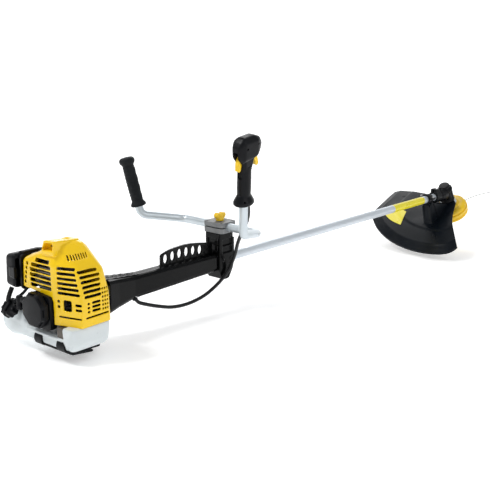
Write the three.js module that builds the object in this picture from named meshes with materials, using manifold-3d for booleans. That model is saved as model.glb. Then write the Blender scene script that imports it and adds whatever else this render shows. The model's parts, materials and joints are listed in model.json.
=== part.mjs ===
// Petrol string trimmer with a two-hand handlebar: engine at the rear, straight boom, line head in front.
// Millimetres. The parts are laid out in the boom's frame: +X along the boom towards the head, +Y to the
// operator's left, +Z up, zero on the boom axis where the boom cover leaves the engine. The whole group is
// then tilted and lifted so that the engine stand and the guard rim both rest on the ground plane, z = 0.
import * as THREE from 'three';
import { ConvexGeometry } from 'three/addons/geometries/ConvexGeometry.js';
import { mergeVertices } from 'three/addons/utils/BufferGeometryUtils.js';
import Module from 'manifold-3d';

const wasm = await Module();
wasm.setup();

// ---------- driving dimensions ----------
const GAP = 0.35;                 // clearance between pieces that touch
const BOOM_R = 13;                // main tube
const BOOM_WALL = 1.6;
const BAR_R = 11;                 // handlebar tube
const STARTER_FACE_X = -214;      // rearmost face
const SHROUD_REAR_X = -186;
const SHROUD_FRONT_X = -84;
const CYLINDER_X = -132;          // cylinder axis
const CLUTCH_END_X = -20;         // front of the clutch housing
const CLAMP_X = 392;              // handlebar clamp centre
const BAR_Z = 92;                 // handlebar axis over the boom axis
const GEAR_X = 1632;              // crossing of the boom axis and the output axis
const HEAD_TILT = THREE.MathUtils.degToRad(30);   // cutting plane against the boom axis
const GUARD_R = 290;              // guard rim radius round the output axis
const GUARD_TOP = -18;            // guard plate under the crossing, along the output axis
const GUARD_DROP = 20;            // skirt fall from the plate to the rim
const GUARD_LIP = 8;              // flat band below the skirt, down to the rim
const GUARD_WALL = 3;
const GUARD_FRONT = 16;           // straight front edge, ahead of the output axis
const GUARD_NECK_X = 1494;        // where the guard's bracket holds the tube
const BLADE_R = 248;              // line cutter's distance from the output axis
const RIM_Z = GUARD_TOP - GUARD_DROP - GUARD_LIP;
const GROUND_TILT = THREE.MathUtils.degToRad(3.1);
const STARTER_Z = 3;              // axis of the recoil starter
const ROPE = { x: -195, y: 55, z: 12 };           // where the starter rope leaves its guide
const INTAKE_Z = 62;              // carburettor throat
const PORT_GAP = 4;               // how far the muffler stays off the shroud's outer face
const SHAFT_BORE = 8;             // hub bores on the crankshaft
const CRANK_R = 7.5;
const FAN_R = 46;
const DRIVE_R = 4;                // drive shaft
const OUTPUT_R = 7;               // output shaft
const HUB_BORE = 7.4;             // bores on the output shaft

// ---------- materials ----------
function material(color, roughness, metalness = 0) {
  return new THREE.MeshStandardMaterial({ color, roughness, metalness });
}
const yellow = material(0xf6c915, 0.35);
const black = material(0x17181a, 0.5);
const rubber = material(0x101112, 0.8);
const aluminium = material(0xb9c0c8, 0.35, 0.9);
const castGrey = material(0x8b8f92, 0.55, 0.7);
const steel = material(0x9a9da0, 0.35, 1);
const tankWhite = material(0xe8edf0, 0.4);
const nylon = material(0xf2f2ea, 0.3);

// ---------- geometry helpers ----------
function solid(geometry) {
  const bare = geometry.clone();
  bare.deleteAttribute('normal');
  bare.deleteAttribute('uv');
  const merged = mergeVertices(bare, 1e-4);
  const index = merged.index ?? { array: [...Array(merged.attributes.position.count).keys()] };
  return new wasm.Manifold(new wasm.Mesh({
    numProp: 3,
    vertProperties: new Float32Array(merged.attributes.position.array),
    triVerts: new Uint32Array(index.array),
  }));
}

function geometryOf(body) {
  const mesh = body.getMesh();
  const geometry = new THREE.BufferGeometry();
  geometry.setAttribute('position', new THREE.BufferAttribute(new Float32Array(mesh.vertProperties), 3));
  geometry.setIndex(new THREE.BufferAttribute(new Uint32Array(mesh.triVerts), 1));
  return geometry;
}

function cut(base, ...tools) {
  return geometryOf(tools.reduce((body, tool) => body.subtract(solid(tool)), solid(base)));
}

function join(base, ...others) {
  return geometryOf(others.reduce((body, other) => body.add(solid(other)), solid(base)));
}

function keepInside(base, limit) {
  return geometryOf(solid(base).intersect(solid(limit)));
}

function box(x0, x1, y0, y1, z0, z1) {
  const geometry = new THREE.BoxGeometry(x1 - x0, y1 - y0, z1 - z0);
  return geometry.translate((x0 + x1) / 2, (y0 + y1) / 2, (z0 + z1) / 2);
}

function hull(points) {
  return new ConvexGeometry(points.map(([x, y, z]) => new THREE.Vector3(x, y, z)));
}

// A turned solid on the Z axis; the profile is [radius, z] and starts and ends on the axis or closes.
function turned(profile, segments = 24) {
  const points = profile.map(([r, z]) => new THREE.Vector2(r, z));
  if (THREE.ShapeUtils.area(points) < 0) points.reverse();
  return new THREE.LatheGeometry(points, segments).rotateX(Math.PI / 2);
}

function rodZ(radius, z0, z1, segments = 20) {
  return turned([[0, z0], [radius, z0], [radius, z1], [0, z1]], segments);
}

function tubeZ(outer, inner, z0, z1, segments = 24) {
  return turned([[inner, z0], [outer, z0], [outer, z1], [inner, z1], [inner, z0]], segments);
}

const toX = (geometry) => geometry.rotateY(Math.PI / 2);
const toY = (geometry) => geometry.rotateX(-Math.PI / 2);
const rodX = (radius, x0, x1, segments) => toX(rodZ(radius, x0, x1, segments));
const rodY = (radius, y0, y1, segments) => toY(rodZ(radius, y0, y1, segments));
const tubeX = (outer, inner, x0, x1, segments) => toX(tubeZ(outer, inner, x0, x1, segments));

function shapeOf(points) {
  return new THREE.Shape(points.map(([x, y]) => new THREE.Vector2(x, y)));
}

function roundedOutline(x0, x1, y0, y1, radius) {
  const shape = new THREE.Shape();
  shape.moveTo(x0 + radius, y0);
  shape.lineTo(x1 - radius, y0);
  shape.absarc(x1 - radius, y0 + radius, radius, -Math.PI / 2, 0);
  shape.lineTo(x1, y1 - radius);
  shape.absarc(x1 - radius, y1 - radius, radius, 0, Math.PI / 2);
  shape.lineTo(x0 + radius, y1);
  shape.absarc(x0 + radius, y1 - radius, radius, Math.PI / 2, Math.PI);
  shape.lineTo(x0, y0 + radius);
  shape.absarc(x0 + radius, y0 + radius, radius, Math.PI, 1.5 * Math.PI);
  return shape;
}

function prism(shape, z0, z1, curveSegments = 4) {
  const options = { depth: z1 - z0, bevelEnabled: false, curveSegments };
  return new THREE.ExtrudeGeometry(shape, options).translate(0, 0, z0);
}

// A prism drawn in (x, z) and extruded along Y.
function prismY(shape, y0, y1, curveSegments = 4) {
  const geometry = prism(shape, -y1, -y0, curveSegments);
  return geometry.rotateX(Math.PI / 2);
}

// A prism drawn in (y, z) and extruded along X.
function prismX(shape, x0, x1, curveSegments = 4) {
  const geometry = prism(shape, x0, x1, curveSegments);
  const basis = new THREE.Matrix4().makeBasis(
    new THREE.Vector3(0, 1, 0), new THREE.Vector3(0, 0, 1), new THREE.Vector3(1, 0, 0));
  return geometry.applyMatrix4(basis);
}

function ring(radius, sides) {
  const shape = new THREE.Shape();
  for (let i = 0; i < sides; i += 1) {
    const angle = 2 * Math.PI * i / sides;
    const [x, y] = [radius * Math.cos(angle), radius * Math.sin(angle)];
    if (i === 0) shape.moveTo(x, y);
    else shape.lineTo(x, y);
  }
  return shape;
}

function sweep(curve, radius, sides, steps) {
  return new THREE.ExtrudeGeometry(ring(radius, sides), { steps, bevelEnabled: false, extrudePath: curve });
}

// Straight runs joined by bends: each inner corner is replaced by a quadratic curve.
function bentPath(corners, bendLengths) {
  const path = new THREE.CurvePath();
  let start = corners[0];
  for (let i = 1; i < corners.length - 1; i += 1) {
    const bend = bendLengths[i - 1];
    const before = corners[i].clone().lerp(corners[i - 1], bend / corners[i].distanceTo(corners[i - 1]));
    const after = corners[i].clone().lerp(corners[i + 1], bend / corners[i].distanceTo(corners[i + 1]));
    path.add(new THREE.LineCurve3(start, before));
    path.add(new THREE.QuadraticBezierCurve3(before, corners[i], after));
    start = after;
  }
  path.add(new THREE.LineCurve3(start, corners.at(-1)));
  return path;
}

const v = (x, y, z) => new THREE.Vector3(x, y, z);

function piece(parent, name, geometry, finish) {
  const mesh = new THREE.Mesh(geometry, finish);
  mesh.name = name;
  parent.add(mesh);
  return mesh;
}

// ---------- ground ----------
const trimmer = new THREE.Group();
const machine = new THREE.Group();
trimmer.add(machine);
const gearhead = new THREE.Group();
gearhead.position.set(GEAR_X, 0, 0);
gearhead.rotation.y = -HEAD_TILT;
machine.add(gearhead);

const rimPoint = v(-GUARD_R, 0, RIM_Z).applyEuler(gearhead.rotation).add(gearhead.position);
const LIFT = -(rimPoint.x * Math.sin(GROUND_TILT) + rimPoint.z * Math.cos(GROUND_TILT));
machine.rotation.y = -GROUND_TILT;
// Height of the ground plane in the boom's frame, at a place along the boom.
const groundZ = (x) => -(LIFT + x * Math.sin(GROUND_TILT)) / Math.cos(GROUND_TILT);
const STAND_BAR_X = -173;         // middle of the stand's rear bar, whose base is the origin
const barBase = v(STAND_BAR_X, 0, groundZ(STAND_BAR_X));
machine.position.set(-(barBase.x * Math.cos(GROUND_TILT) - barBase.z * Math.sin(GROUND_TILT)), 0, LIFT);

// ---------- engine ----------
const SHROUD_WALL = 3;
const SHROUD_BASE_Z = -27;
const SHROUD_SHOULDER_Z = 103;
const SHROUD_TOP_Z = 153;
const SHROUD_LEFT_Y = 73;
const SHROUD_EDGE_Y = -42;        // the upright edge between the rear face and the bevel
const RIB_X = -164;               // rib where the bevel meets the side
const SHROUD_RIGHT_Y = -106;
const PLUG_Y = -16;               // the spark plug stands off the cylinder's axis, under the cooling duct

function shroudBody(inset) {
  const rear = SHROUD_REAR_X + inset;
  const front = SHROUD_FRONT_X - inset;
  const left = SHROUD_LEFT_Y - inset;
  const right = SHROUD_RIGHT_Y + inset;
  const base = SHROUD_BASE_Z - (inset > 0 ? 10 : 0);
  const plan = (frontX, rightY) => [[rear, left], [rear, SHROUD_EDGE_Y + inset / 2],
    [RIB_X + inset / 2, rightY + 2], [frontX - 10, rightY], [frontX, rightY + 10], [frontX, left]];
  const lower = plan(front + 8, right).map(([x, y]) => [x, y, base]);
  const shoulderZ = SHROUD_SHOULDER_Z - inset;
  const shoulder = plan(front - 12, right + 3).map(([x, y]) => [x, y, shoulderZ]);
  const top = SHROUD_TOP_Z - inset;
  const crownX = CYLINDER_X + 14;
  const roof = [[rear + 3, -40 + inset, top - 10], [rear + 3, 6 - inset, top - 17], [crownX, -36, top],
    [crownX, 2, top], [front - 20, -28, top - 14], [front - 20, 2, top - 15],
    [rear + 2, left - 4, shoulderZ + 11], [crownX - 2, left - 14, shoulderZ + 17]];
  return hull([...lower, ...shoulder, ...roof]);
}

// A flat slot cutter that crosses the wall from point a to point b (both [x, y]), of a given height.
function wallSlot(a, b, z, height, rise = 0, reach = 12) {
  const length = Math.hypot(b[0] - a[0], b[1] - a[1]);
  const geometry = new THREE.BoxGeometry(length, 2 * reach, height);
  geometry.rotateY(-Math.atan2(rise, length));
  geometry.rotateZ(Math.atan2(b[1] - a[1], b[0] - a[0]));
  return geometry.translate((a[0] + b[0]) / 2, (a[1] + b[1]) / 2, z);
}

function cylinderCover() {
  const rear = SHROUD_REAR_X;
  const front = SHROUD_FRONT_X;
  const left = SHROUD_LEFT_Y;
  const below = SHROUD_BASE_Z - 5;
  const openTop = 92;               // top of the openings towards the fan and the carburettor
  const bevelAt = (t) => [rear + t * (RIB_X - rear), SHROUD_EDGE_Y + t * (SHROUD_RIGHT_Y - SHROUD_EDGE_Y)];
  const sideAt = (t) => [RIB_X + t * (front - RIB_X), SHROUD_RIGHT_Y];
  const tools = [
    shroudBody(SHROUD_WALL),
    box(front - 14, front + 16, SHROUD_RIGHT_Y + 16, left - 10, below, openTop),
    box(rear - 5, rear + 20, SHROUD_EDGE_Y + 1.8, left + 5, below, 46),
    box(rear - 5, front - 20, left - 10, left + 5, below, openTop),
  ];
  const rows = 6;
  for (let i = 0; i < rows; i += 1) {
    tools.push(wallSlot([rear, 46 - Math.max(0, i - 4) * 9], [rear, -34], 60 + i * 12.5, 8));
    tools.push(wallSlot(bevelAt(0.1), bevelAt(0.86), 45 + i * 11.2, 5.6));
    tools.push(wallSlot(sideAt(0.12), sideAt(0.8), 46 + i * 10.4, 5.4, -3));
    tools.push(wallSlot([-152 + i * 9, -62], [-149 + i * 9, -54], 130, 40, 0, 8));
  }
  for (let i = 0; i < 5; i += 1) {
    tools.push(box(rear - 5, rear + 10, 58, 65, 56 + i * 11, 60.5 + i * 11));
  }
  for (let i = 0; i < 3; i += 1) {
    tools.push(wallSlot(sideAt(0.12), sideAt(0.24), 10 + i * 10.4, 4.4, -1));
    tools.push(wallSlot(sideAt(0.34), sideAt(0.76), 10 + i * 10.4, 4.4, -2));
  }
  tools.push(wallSlot(bevelAt(0.36), bevelAt(0.7), 8, 30));     // exhaust outlet
  for (const z of [5, 16]) {
    tools.push(wallSlot(bevelAt(0.82), bevelAt(0.97), z, 4.4));
  }
  tools.push(wallSlot(bevelAt(0.12), bevelAt(0.96), -14, 3.4));
  tools.push(wallSlot(sideAt(0.1), sideAt(0.86), -14, 3.4));
  const shell = cut(shroudBody(0), ...tools);
  const ductEnd = CYLINDER_X + 4;
  const duct = hull([[rear + 4, -41, 132], [rear + 4, 4, 130], [rear + 8, -39, 158], [rear + 8, -1, 155],
    [ductEnd, -36, 132], [ductEnd, 0, 132], [ductEnd, -34, 155], [ductEnd, -2, 154]]);
  const mouth = box(rear - 6, ductEnd - 12, -36, -1, 136, 152);
  const well = box(ductEnd - 18, ductEnd + 10, PLUG_Y - 16, PLUG_Y + 12, 126, 148);
  return cut(join(shell, duct), mouth, well);
}

function finnedCylinder() {
  const bore = rodZ(20, 22, 96, 16).translate(CYLINDER_X, 0, 0);
  const barrel = rodZ(29, 27, 106, 16).translate(CYLINDER_X, 0, 0);
  const plugHole = rodZ(6.4, 90, 120, 16).translate(CYLINDER_X, PLUG_Y, 0);
  const fins = [];
  for (let i = 0; i < 8; i += 1) {
    const half = i < 5 ? 36 : 34 - (i - 5) * 3;
    fins.push(box(CYLINDER_X - half, CYLINDER_X + half, -half, half, 42 + i * 9, 44 + i * 9));
  }
  return cut(join(barrel, ...fins), bore, plugHole);
}

function crankcase() {
  const body = prismX(roundedOutline(-40, 40, -40, 26.6, 12), -176, -90);
  const chamber = rodX(31, -168, -98, 24);
  return cut(body, chamber, rodZ(19, 0, 40, 20).translate(CYLINDER_X, 0, 0),
    rodX(9.5, -190, -80, 16));
}

function crankshaft() {
  const shaft = rodX(CRANK_R, -180, -58, 16);
  const webs = [[-150, -140], [-124, -114]].map(([a, b]) => rodX(27, a, b, 24));
  return join(shaft, ...webs);
}

function flywheel() {
  const disc = tubeX(FAN_R, SHAFT_BORE, -84, -78, 28);
  const hub = tubeX(18, SHAFT_BORE, -84, -67, 16);
  const count = 12;
  const blades = [];
  for (let i = 0; i < count; i += 1) {
    blades.push(box(-78.5, -70, -1.2, 1.2, 20, FAN_R - 1).rotateX(2 * Math.PI * i / count));
  }
  return join(disc, hub, ...blades);
}

function fanHousing() {
  const outer = rodX(FAN_R + 12, -86.5, -66, 28);
  return cut(outer, rodX(FAN_R + 3, -90, -69, 28), rodX(24, -75, -60, 20));
}

function clutchRotor() {
  const hub = tubeX(14, SHAFT_BORE, -64.5, -50, 20);
  const shoes = cut(tubeX(25, 15, -63, -50, 28), box(-70, -40, -2, 2, -40, 40));
  const arms = box(-60, -54, -16, 16, -4, 4);
  return cut(join(hub, shoes, arms), rodX(SHAFT_BORE, -80, -40, 16));
}

function clutchDrum() {
  const profile = [[5.2, -30], [10, -30], [10, -44], [29, -44], [29, -64], [26.5, -64], [26.5, -47], [5.2, -47],
    [5.2, -30]];
  return toX(turned(profile, 28));
}

function clutchHousing() {
  const bore = BOOM_R + GAP;
  const profile = [[bore, CLUTCH_END_X], [22, CLUTCH_END_X], [24, -34], [42, -50], [46, -65.6], [36, -65.6],
    [33, -52], [32, -40], [bore, -40], [bore, CLUTCH_END_X]];
  return toX(turned(profile, 28));
}

function muffler() {
  const can = hull([[-160, -99, -18], [-160, -60, -18], [-98, -99, -18], [-98, -60, -18],
    [-158, -99, 58], [-158, -62, 58], [-100, -99, 58], [-100, -62, 58]]);
  const outlet = box(-176, -158, -84, -66, -4, 18);
  const port = box(-180, -162, -81, -69, 0, 14);
  return keepInside(cut(join(can, outlet), port), shroudBody(PORT_GAP));
}

function sparkPlug() {
  const profile = [[0, 94], [5.6, 94], [5.6, 107.5], [9, 107.5], [9, 113], [5.5, 113], [4.5, 122], [0, 122]];
  return turned(profile, 16).translate(CYLINDER_X, PLUG_Y, 0);
}

function plugBoot() {
  const cap = tubeZ(9, 6, 113.4, 128, 16);
  const crown = rodZ(9, 123, 147, 16);
  const lead = rodX(4, -34, 0, 12).translate(0, 0, 143);
  return join(cap, crown, lead).translate(CYLINDER_X, PLUG_Y, 0);
}

function airFilterBase() {
  const outline = roundedOutline(-186, -104, 30, 112, 10);
  return cut(prismY(outline, 74, 80, 3), rodY(12, 70, 90, 16).translate(CYLINDER_X, 0, INTAKE_Z));
}

function airFilterCover() {
  const shell = hull([[-192, 81, 28], [-192, 81, 114], [-98, 81, 28], [-98, 81, 114],
    [-190, 112, 34], [-190, 110, 108], [-100, 112, 34], [-100, 110, 108],
    [-182, 127, 42], [-182, 125, 98], [-108, 127, 42], [-108, 125, 98]]);
  const hollow = hull([[-188, 70, 32], [-188, 70, 110], [-102, 70, 32], [-102, 70, 110],
    [-178, 123, 46], [-178, 121, 94], [-112, 123, 46], [-112, 121, 94]]);
  return cut(shell, hollow);
}

function carburettor() {
  const body = box(-150, -114, 44, 73.5, 44, 80);
  const throat = rodY(10, 36.5, 90, 16).translate(CYLINDER_X, 0, INTAKE_Z);
  const flange = box(-148, -116, 37, 44.5, 46, 78);
  return cut(join(body, flange), throat);
}

// The priming bulb under the carburettor's rear face.
function primerBulb() {
  return toX(turned([[0, -9], [6, -8], [8, -2], [8, 0], [0, 0]], 16)).translate(-150.4, 58, 54);
}

// The lever pivots at its front end, beside the carburettor.
function chokeLever() {
  return box(-172, -152, 70, 73, 67, 73);
}

function starterHousing() {
  const face = STARTER_FACE_X;
  const rim = -177;
  const profile = [[0, face], [36, face], [42, face + 5], [43, rim], [39.5, rim], [38, face + 8], [0, face + 4]];
  const octagon = toX(turned(profile, 8).rotateZ(Math.PI / 8)).translate(0, 0, STARTER_Z);
  const guide = rodY(9, 36, ROPE.y + 1, 16).translate(ROPE.x, 0, ROPE.z);
  const eye = rodY(5, 30, ROPE.y + 5, 12).translate(ROPE.x, 0, ROPE.z);
  const reelRoom = tubeX(34, 0.5, face + 5, rim + 7, 24).translate(0, 0, STARTER_Z);
  return cut(join(octagon, guide), eye, reelRoom);
}

function starterPulley() {
  const profile = [[9, -205], [30, -205], [30, -202], [24, -202], [24, -193], [30, -193], [30, -190], [9, -190],
    [9, -205]];
  return toX(turned(profile, 28)).translate(0, 0, STARTER_Z);
}

function starterHandle() {
  const rope = rodY(2.2, ROPE.y, ROPE.y + 7, 8).translate(ROPE.x, 0, ROPE.z);
  const square = (y, half) => [[-half, -half], [half, -half], [-half, half], [half, half]]
    .map(([x, z]) => [ROPE.x + x, y, ROPE.z + z]);
  const neck = hull([...square(ROPE.y + 2, 6.5), ...square(ROPE.y + 17, 4)]);
  const grip = rodZ(8, -14, 20, 12).translate(ROPE.x, ROPE.y + 20, 0);
  return join(grip, neck, rope);
}

// ---------- fuel ----------
const TANK = { rear: -194, front: -80, right: -105, left: 150, base: -87, top: -33, saddle: -50, wall: 2.6 };
const CAP = { x: -198, y: 110, z: -16, radius: 21, halfHeight: 11, tilt: THREE.MathUtils.degToRad(-50) };
const FAN_ROOM_R = FAN_R + 14;

// Places a piece made on the Z axis at the filler, which leans back so that the cap faces the operator.
function atFiller(geometry) {
  return geometry.rotateY(CAP.tilt).translate(CAP.x, CAP.y, CAP.z);
}

// The tank's outer form, rounded in all three views, or its hollow when drawn in by the wall.
function tankBody(inset) {
  const [rear, front] = [TANK.rear + inset, TANK.front - inset];
  const [right, left] = [TANK.right + inset, TANK.left - inset];
  const base = TANK.base + inset;
  const above = TANK.top + 40;
  const block = prism(roundedOutline(rear, front, right, left, 26 - inset), base, TANK.top - inset, 4);
  const envelope = prismX(roundedOutline(right, left, base, above, 22 - inset), TANK.rear, TANK.front, 3);
  const side = prismY(roundedOutline(rear, front, base, above, 20 - inset), TANK.right, TANK.left, 3);
  const saddle = box(-260, 0, -56 - inset, 46 + inset, TANK.saddle - inset, 40);
  const fanRoom = rodX(FAN_ROOM_R + inset, -92, TANK.front + 5, 20);
  return cut(keepInside(keepInside(block, envelope), side), saddle, fanRoom);
}

function fuelTank() {
  const neck = atFiller(rodZ(17, -44, -CAP.halfHeight - GAP, 20));
  const filler = atFiller(rodZ(13, -56, 0, 20));
  const hollow = tankBody(TANK.wall);
  return cut(join(tankBody(0), cut(neck, hollow)), hollow, filler);
}

function fuelCap() {
  const h = CAP.halfHeight;
  const r = CAP.radius;
  const count = 10;
  const ribs = [];
  for (let i = 0; i < count; i += 1) {
    ribs.push(box(r - 2.5, r + 0.6, -2.6, 2.6, -h, h - 3).rotateZ(2 * Math.PI * i / count));
  }
  const cap = turned([[0, -h], [r - 0.6, -h], [r - 0.6, h - 4], [r - 3, h], [0, h]], 20);
  return atFiller(join(cap, ...ribs));
}

function tankStand() {
  const rear = TANK.rear + 6;
  const front = TANK.front + 10;
  const bottom = groundZ(rear) - 6;
  const top = TANK.base - GAP;
  const plate = box(rear + 6, front, -66, 40, bottom, top);
  const feet = [-66, 2].map((y) => box(rear - 4, rear + 12, y, y + 26, bottom, top));
  const arms = [-50, 30].map((y) => box(TANK.front + GAP, front, y - 8, y + 8, bottom, -62));
  const window = box(rear + 24, front - 24, -36, 10, bottom - 20, top + 5);
  const rest = cut(join(plate, ...feet, ...arms), window);
  const ground = new THREE.BoxGeometry(600, 400, 100).translate(0, 0, -50);
  ground.translate(0, 0, -LIFT).rotateY(GROUND_TILT);
  return cut(rest, ground);
}

// ---------- boom ----------
const COVER = { x0: -14, x1: 361, halfWidth: 20, wall: 2.6 };
const TUBE = { x0: -39, x1: 1582 };

// The sleeve's outer surface, or its inner one when drawn in by the wall: [x, base, top] at each station.
function coverSection(inset) {
  const w = COVER.halfWidth - inset;
  const stations = [[COVER.x0, -46, 34, 32], [70, -31.5, 25, w], [COVER.x1, -25, 23, w]];
  const section = ([x, base, top, half]) => {
    const [low, high] = [base + inset, top - inset];
    return [[x, -half + 3, low], [x, half - 3, low], [x, -half, low + 6], [x, half, low + 6],
      [x, -half, high - 8], [x, half, high - 8], [x, -half + 9, high], [x, half - 9, high]];
  };
  const [rear, middle, front] = stations.map(section);
  return join(hull([...rear, ...middle]), hull([...middle, ...front]));
}

const CREST = { x0: 172, x1: COVER.x1 - 2, halfWidth: 3, holes: 6, pitch: 24.8 };

function crestFin() {
  const crest = new THREE.Shape();
  crest.moveTo(CREST.x0, 20);
  crest.lineTo(CREST.x1, 20);
  crest.lineTo(CREST.x1, 50);
  crest.quadraticCurveTo(262, 76, CREST.x0 + 4, 53);
  crest.lineTo(CREST.x0, 47);
  const holes = [];
  for (let i = 0; i < CREST.holes; i += 1) {
    const lift = 4 * Math.sin(Math.PI * (i + 0.5) / CREST.holes);
    const hole = rodY(1, -10, 10, 12).scale(6, 1, 9.5);
    holes.push(hole.translate(CREST.x0 + 16 + i * CREST.pitch, 0, 38.5 + lift));
  }
  return cut(prismY(crest, -CREST.halfWidth, CREST.halfWidth, 10), ...holes);
}

function boomCover() {
  const cableHole = rodZ(6.2, -45, -20, 12).translate(72, -12, 0);
  const frontEnd = box(COVER.x1 - 20, COVER.x1 + 5, -17, 17, -21, 14);
  const rearEnd = box(COVER.x0 - 5, COVER.x0 + 10, -26, 26, -41, 22);
  return cut(join(coverSection(0), crestFin()), coverSection(COVER.wall), cableHole, frontEnd, rearEnd);
}

const COLUMN = { x0: 363, x1: 421, halfWidth: 26, base: -50, top: 77 };

function clampColumn() {
  const { x0, x1, base, top, halfWidth } = COLUMN;
  const side = [[x0, top], [x0, -25], [x0 + 8, base], [x0 + 36, base], [x1 - 4, -22], [x1, 0], [x1, top]];
  const block = prismY(shapeOf(side), -halfWidth, halfWidth);
  const waist = [-1, 1].map((s) => box(x0 + 12, x1 - 12, s * halfWidth - 5, s * halfWidth + 5, 22, 66));
  const boomHole = rodX(BOOM_R + GAP, x0 - 20, x1 + 20, 24);
  const screwHole = rodZ(4.4, top - 27, top + 3, 12).translate(CLAMP_X, 0, 0);
  return cut(block, boomHole, screwHole, ...waist);
}

const PLATE = { halfX: 30, halfY: 34, lower0: COLUMN.top + 0.4, upper1: BAR_Z + BAR_R + 3, halfSplit: 1.4 };

function clampPlate(z0, z1, chamferTop) {
  const c = 5;
  const chamfer = 3.5;
  const rise = chamferTop ? z1 - chamfer : z0 + chamfer;
  const [a, b] = [PLATE.halfX, PLATE.halfY];
  const quarter = [[a - c, b], [a, b - c]];
  const half = [...quarter, ...quarter.toReversed().map(([x, y]) => [x, -y])];
  const full = [...half, ...half.map(([x, y]) => [-x, -y])];
  const small = full.map(([x, y]) => [x * 0.9, y * 0.9]);
  const middle = (z) => full.map(([x, y]) => [x + CLAMP_X, y, z]);
  const reduced = (z) => small.map(([x, y]) => [x + CLAMP_X, y, z]);
  const body = chamferTop ? hull([...middle(z0), ...middle(rise), ...reduced(z1)])
    : hull([...reduced(z0), ...middle(rise), ...middle(z1)]);
  const groove = rodY(BAR_R + GAP, -60, 60, 24).translate(CLAMP_X, 0, BAR_Z);
  return cut(body, groove);
}

const KNOB = { z0: PLATE.upper1 + GAP, z1: PLATE.upper1 + 24 };

function clampKnob() {
  const hub = turned([[0, KNOB.z0], [11, KNOB.z0], [10, KNOB.z0 + 10], [0, KNOB.z0 + 10]], 16);
  const wing = new THREE.Shape();
  wing.moveTo(-8, KNOB.z0 + 4);
  wing.lineTo(8, KNOB.z0 + 4);
  wing.lineTo(16, KNOB.z1 - 6);
  wing.quadraticCurveTo(14, KNOB.z1, 6, KNOB.z1 - 2);
  wing.quadraticCurveTo(0, KNOB.z1 - 6, -6, KNOB.z1 - 2);
  wing.quadraticCurveTo(-14, KNOB.z1, -16, KNOB.z1 - 6);
  return join(hub, prismY(wing, -4.5, 4.5, 4)).translate(CLAMP_X, 0, 0);
}

// ---------- handlebar ----------
const BEND = v(CLAMP_X, 136, BAR_Z);
const GRIP_FOOT = v(277, 183, 115);
const GRIP_LEAN = v(-0.16, 0.17, 1);
const gripPoint = (t, side) => {
  const p = GRIP_FOOT.clone().addScaledVector(GRIP_LEAN, t);
  return v(p.x, side * p.y, p.z);
};
const LEFT_GRIP_FOOT = 27;        // these four are heights over the grip's foot
const HANDLE_FOOT = 82;
const BAR_LEFT_END = 150;
const BAR_RIGHT_END = 167;

function handlebar() {
  const mirror = (p) => v(p.x, -p.y, p.z);
  const corners = [gripPoint(BAR_LEFT_END, 1), GRIP_FOOT, BEND, mirror(BEND), mirror(GRIP_FOOT),
    gripPoint(BAR_RIGHT_END, -1)];
  const path = bentPath(corners, [20, 30, 30, 20]);
  return sweep(path, BAR_R, 10, 34);
}

// Handle frame: Z along the grip, X forwards.
function gripFrame(side, t) {
  const frame = new THREE.Group();
  const up = v(GRIP_LEAN.x, side * GRIP_LEAN.y, GRIP_LEAN.z).normalize();
  const sideways = v(0, 1, 0).addScaledVector(up, -up.y).normalize();
  const forward = sideways.clone().cross(up);
  frame.matrix.makeBasis(forward, sideways, up);
  frame.matrix.decompose(frame.position, frame.quaternion, frame.scale);
  frame.position.copy(gripPoint(t, side));
  machine.add(frame);
  return frame;
}

function leftGrip() {
  const r = BAR_R + GAP;
  const profile = [[r, 0], [19, 0], [24, 3], [24, 8], [17, 14], [17, 116], [22, 123], [23, 130], [19, 136],
    [0, 138], [0, 127], [r, 127], [r, 0]];
  return turned(profile, 20);
}

const HANDLE = { length: 168, halfWidth: 17, slimWidth: 14, bore: 90 };
const TRIGGER_PIN = { x: 26, z: 132 };
const LOCK_PIN = { x: -17, z: 120 };
const SWITCH = { x: 22, z: 151, radius: 6 };
const CABLE_SOCKET = { x: 17, radius: 5.5, depth: 9 };

function handleProfile() {
  const shape = new THREE.Shape();
  shape.moveTo(-19, 0);
  shape.lineTo(19, 0);
  shape.quadraticCurveTo(25, 6, 20, 13);
  shape.lineTo(15, 22);
  shape.lineTo(15.5, 88);
  shape.lineTo(17, 117);
  shape.quadraticCurveTo(34, 119, 39, 130);
  shape.lineTo(41, 147);
  shape.quadraticCurveTo(40, HANDLE.length, 20, HANDLE.length);
  shape.lineTo(-14, HANDLE.length);
  shape.quadraticCurveTo(-25, HANDLE.length - 2, -26, 149);
  shape.lineTo(-25, 126);
  shape.quadraticCurveTo(-22, 112, -17, 108);
  shape.lineTo(-17, 22);
  shape.lineTo(-21, 12);
  shape.quadraticCurveTo(-24, 6, -19, 0);
  return shape;
}

// One moulded half of the throttle handle: side 1 is the inner half with the stop switch, -1 the outer one.
function throttleHalf(side) {
  const span = (near, far) => (side > 0 ? [near, far] : [-far, -near]);
  const body = prismY(handleProfile(), ...span(GAP / 2, HANDLE.halfWidth), 4);
  const palm = box(-40, 40, ...span(HANDLE.slimWidth, HANDLE.halfWidth + 5), 18, 112);
  const bore = rodZ(BAR_R + GAP, -5, HANDLE.bore, 16);
  const triggerPocket = box(13, 50, -6.5, 6.5, 84, 143);
  const lockPocket = join(box(-40, -12.6, -6.5, 6.5, 68, 95), box(-40, -7, -6.5, 6.5, 94, 138));
  const pins = [TRIGGER_PIN, LOCK_PIN].map(({ x, z }) => rodY(2.4, -7.5, 7.5, 10).translate(x, 0, z));
  const cableSocket = rodZ(CABLE_SOCKET.radius, -5, CABLE_SOCKET.depth, 12).translate(CABLE_SOCKET.x, 0, 0);
  const shell = cut(body, palm, bore, triggerPocket, lockPocket, ...pins, cableSocket);
  const switchHole = rodY(SWITCH.radius + 0.5, 2, 30, 14).translate(SWITCH.x, 0, SWITCH.z);
  return side > 0 ? cut(shell, switchHole) : shell;
}

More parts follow.
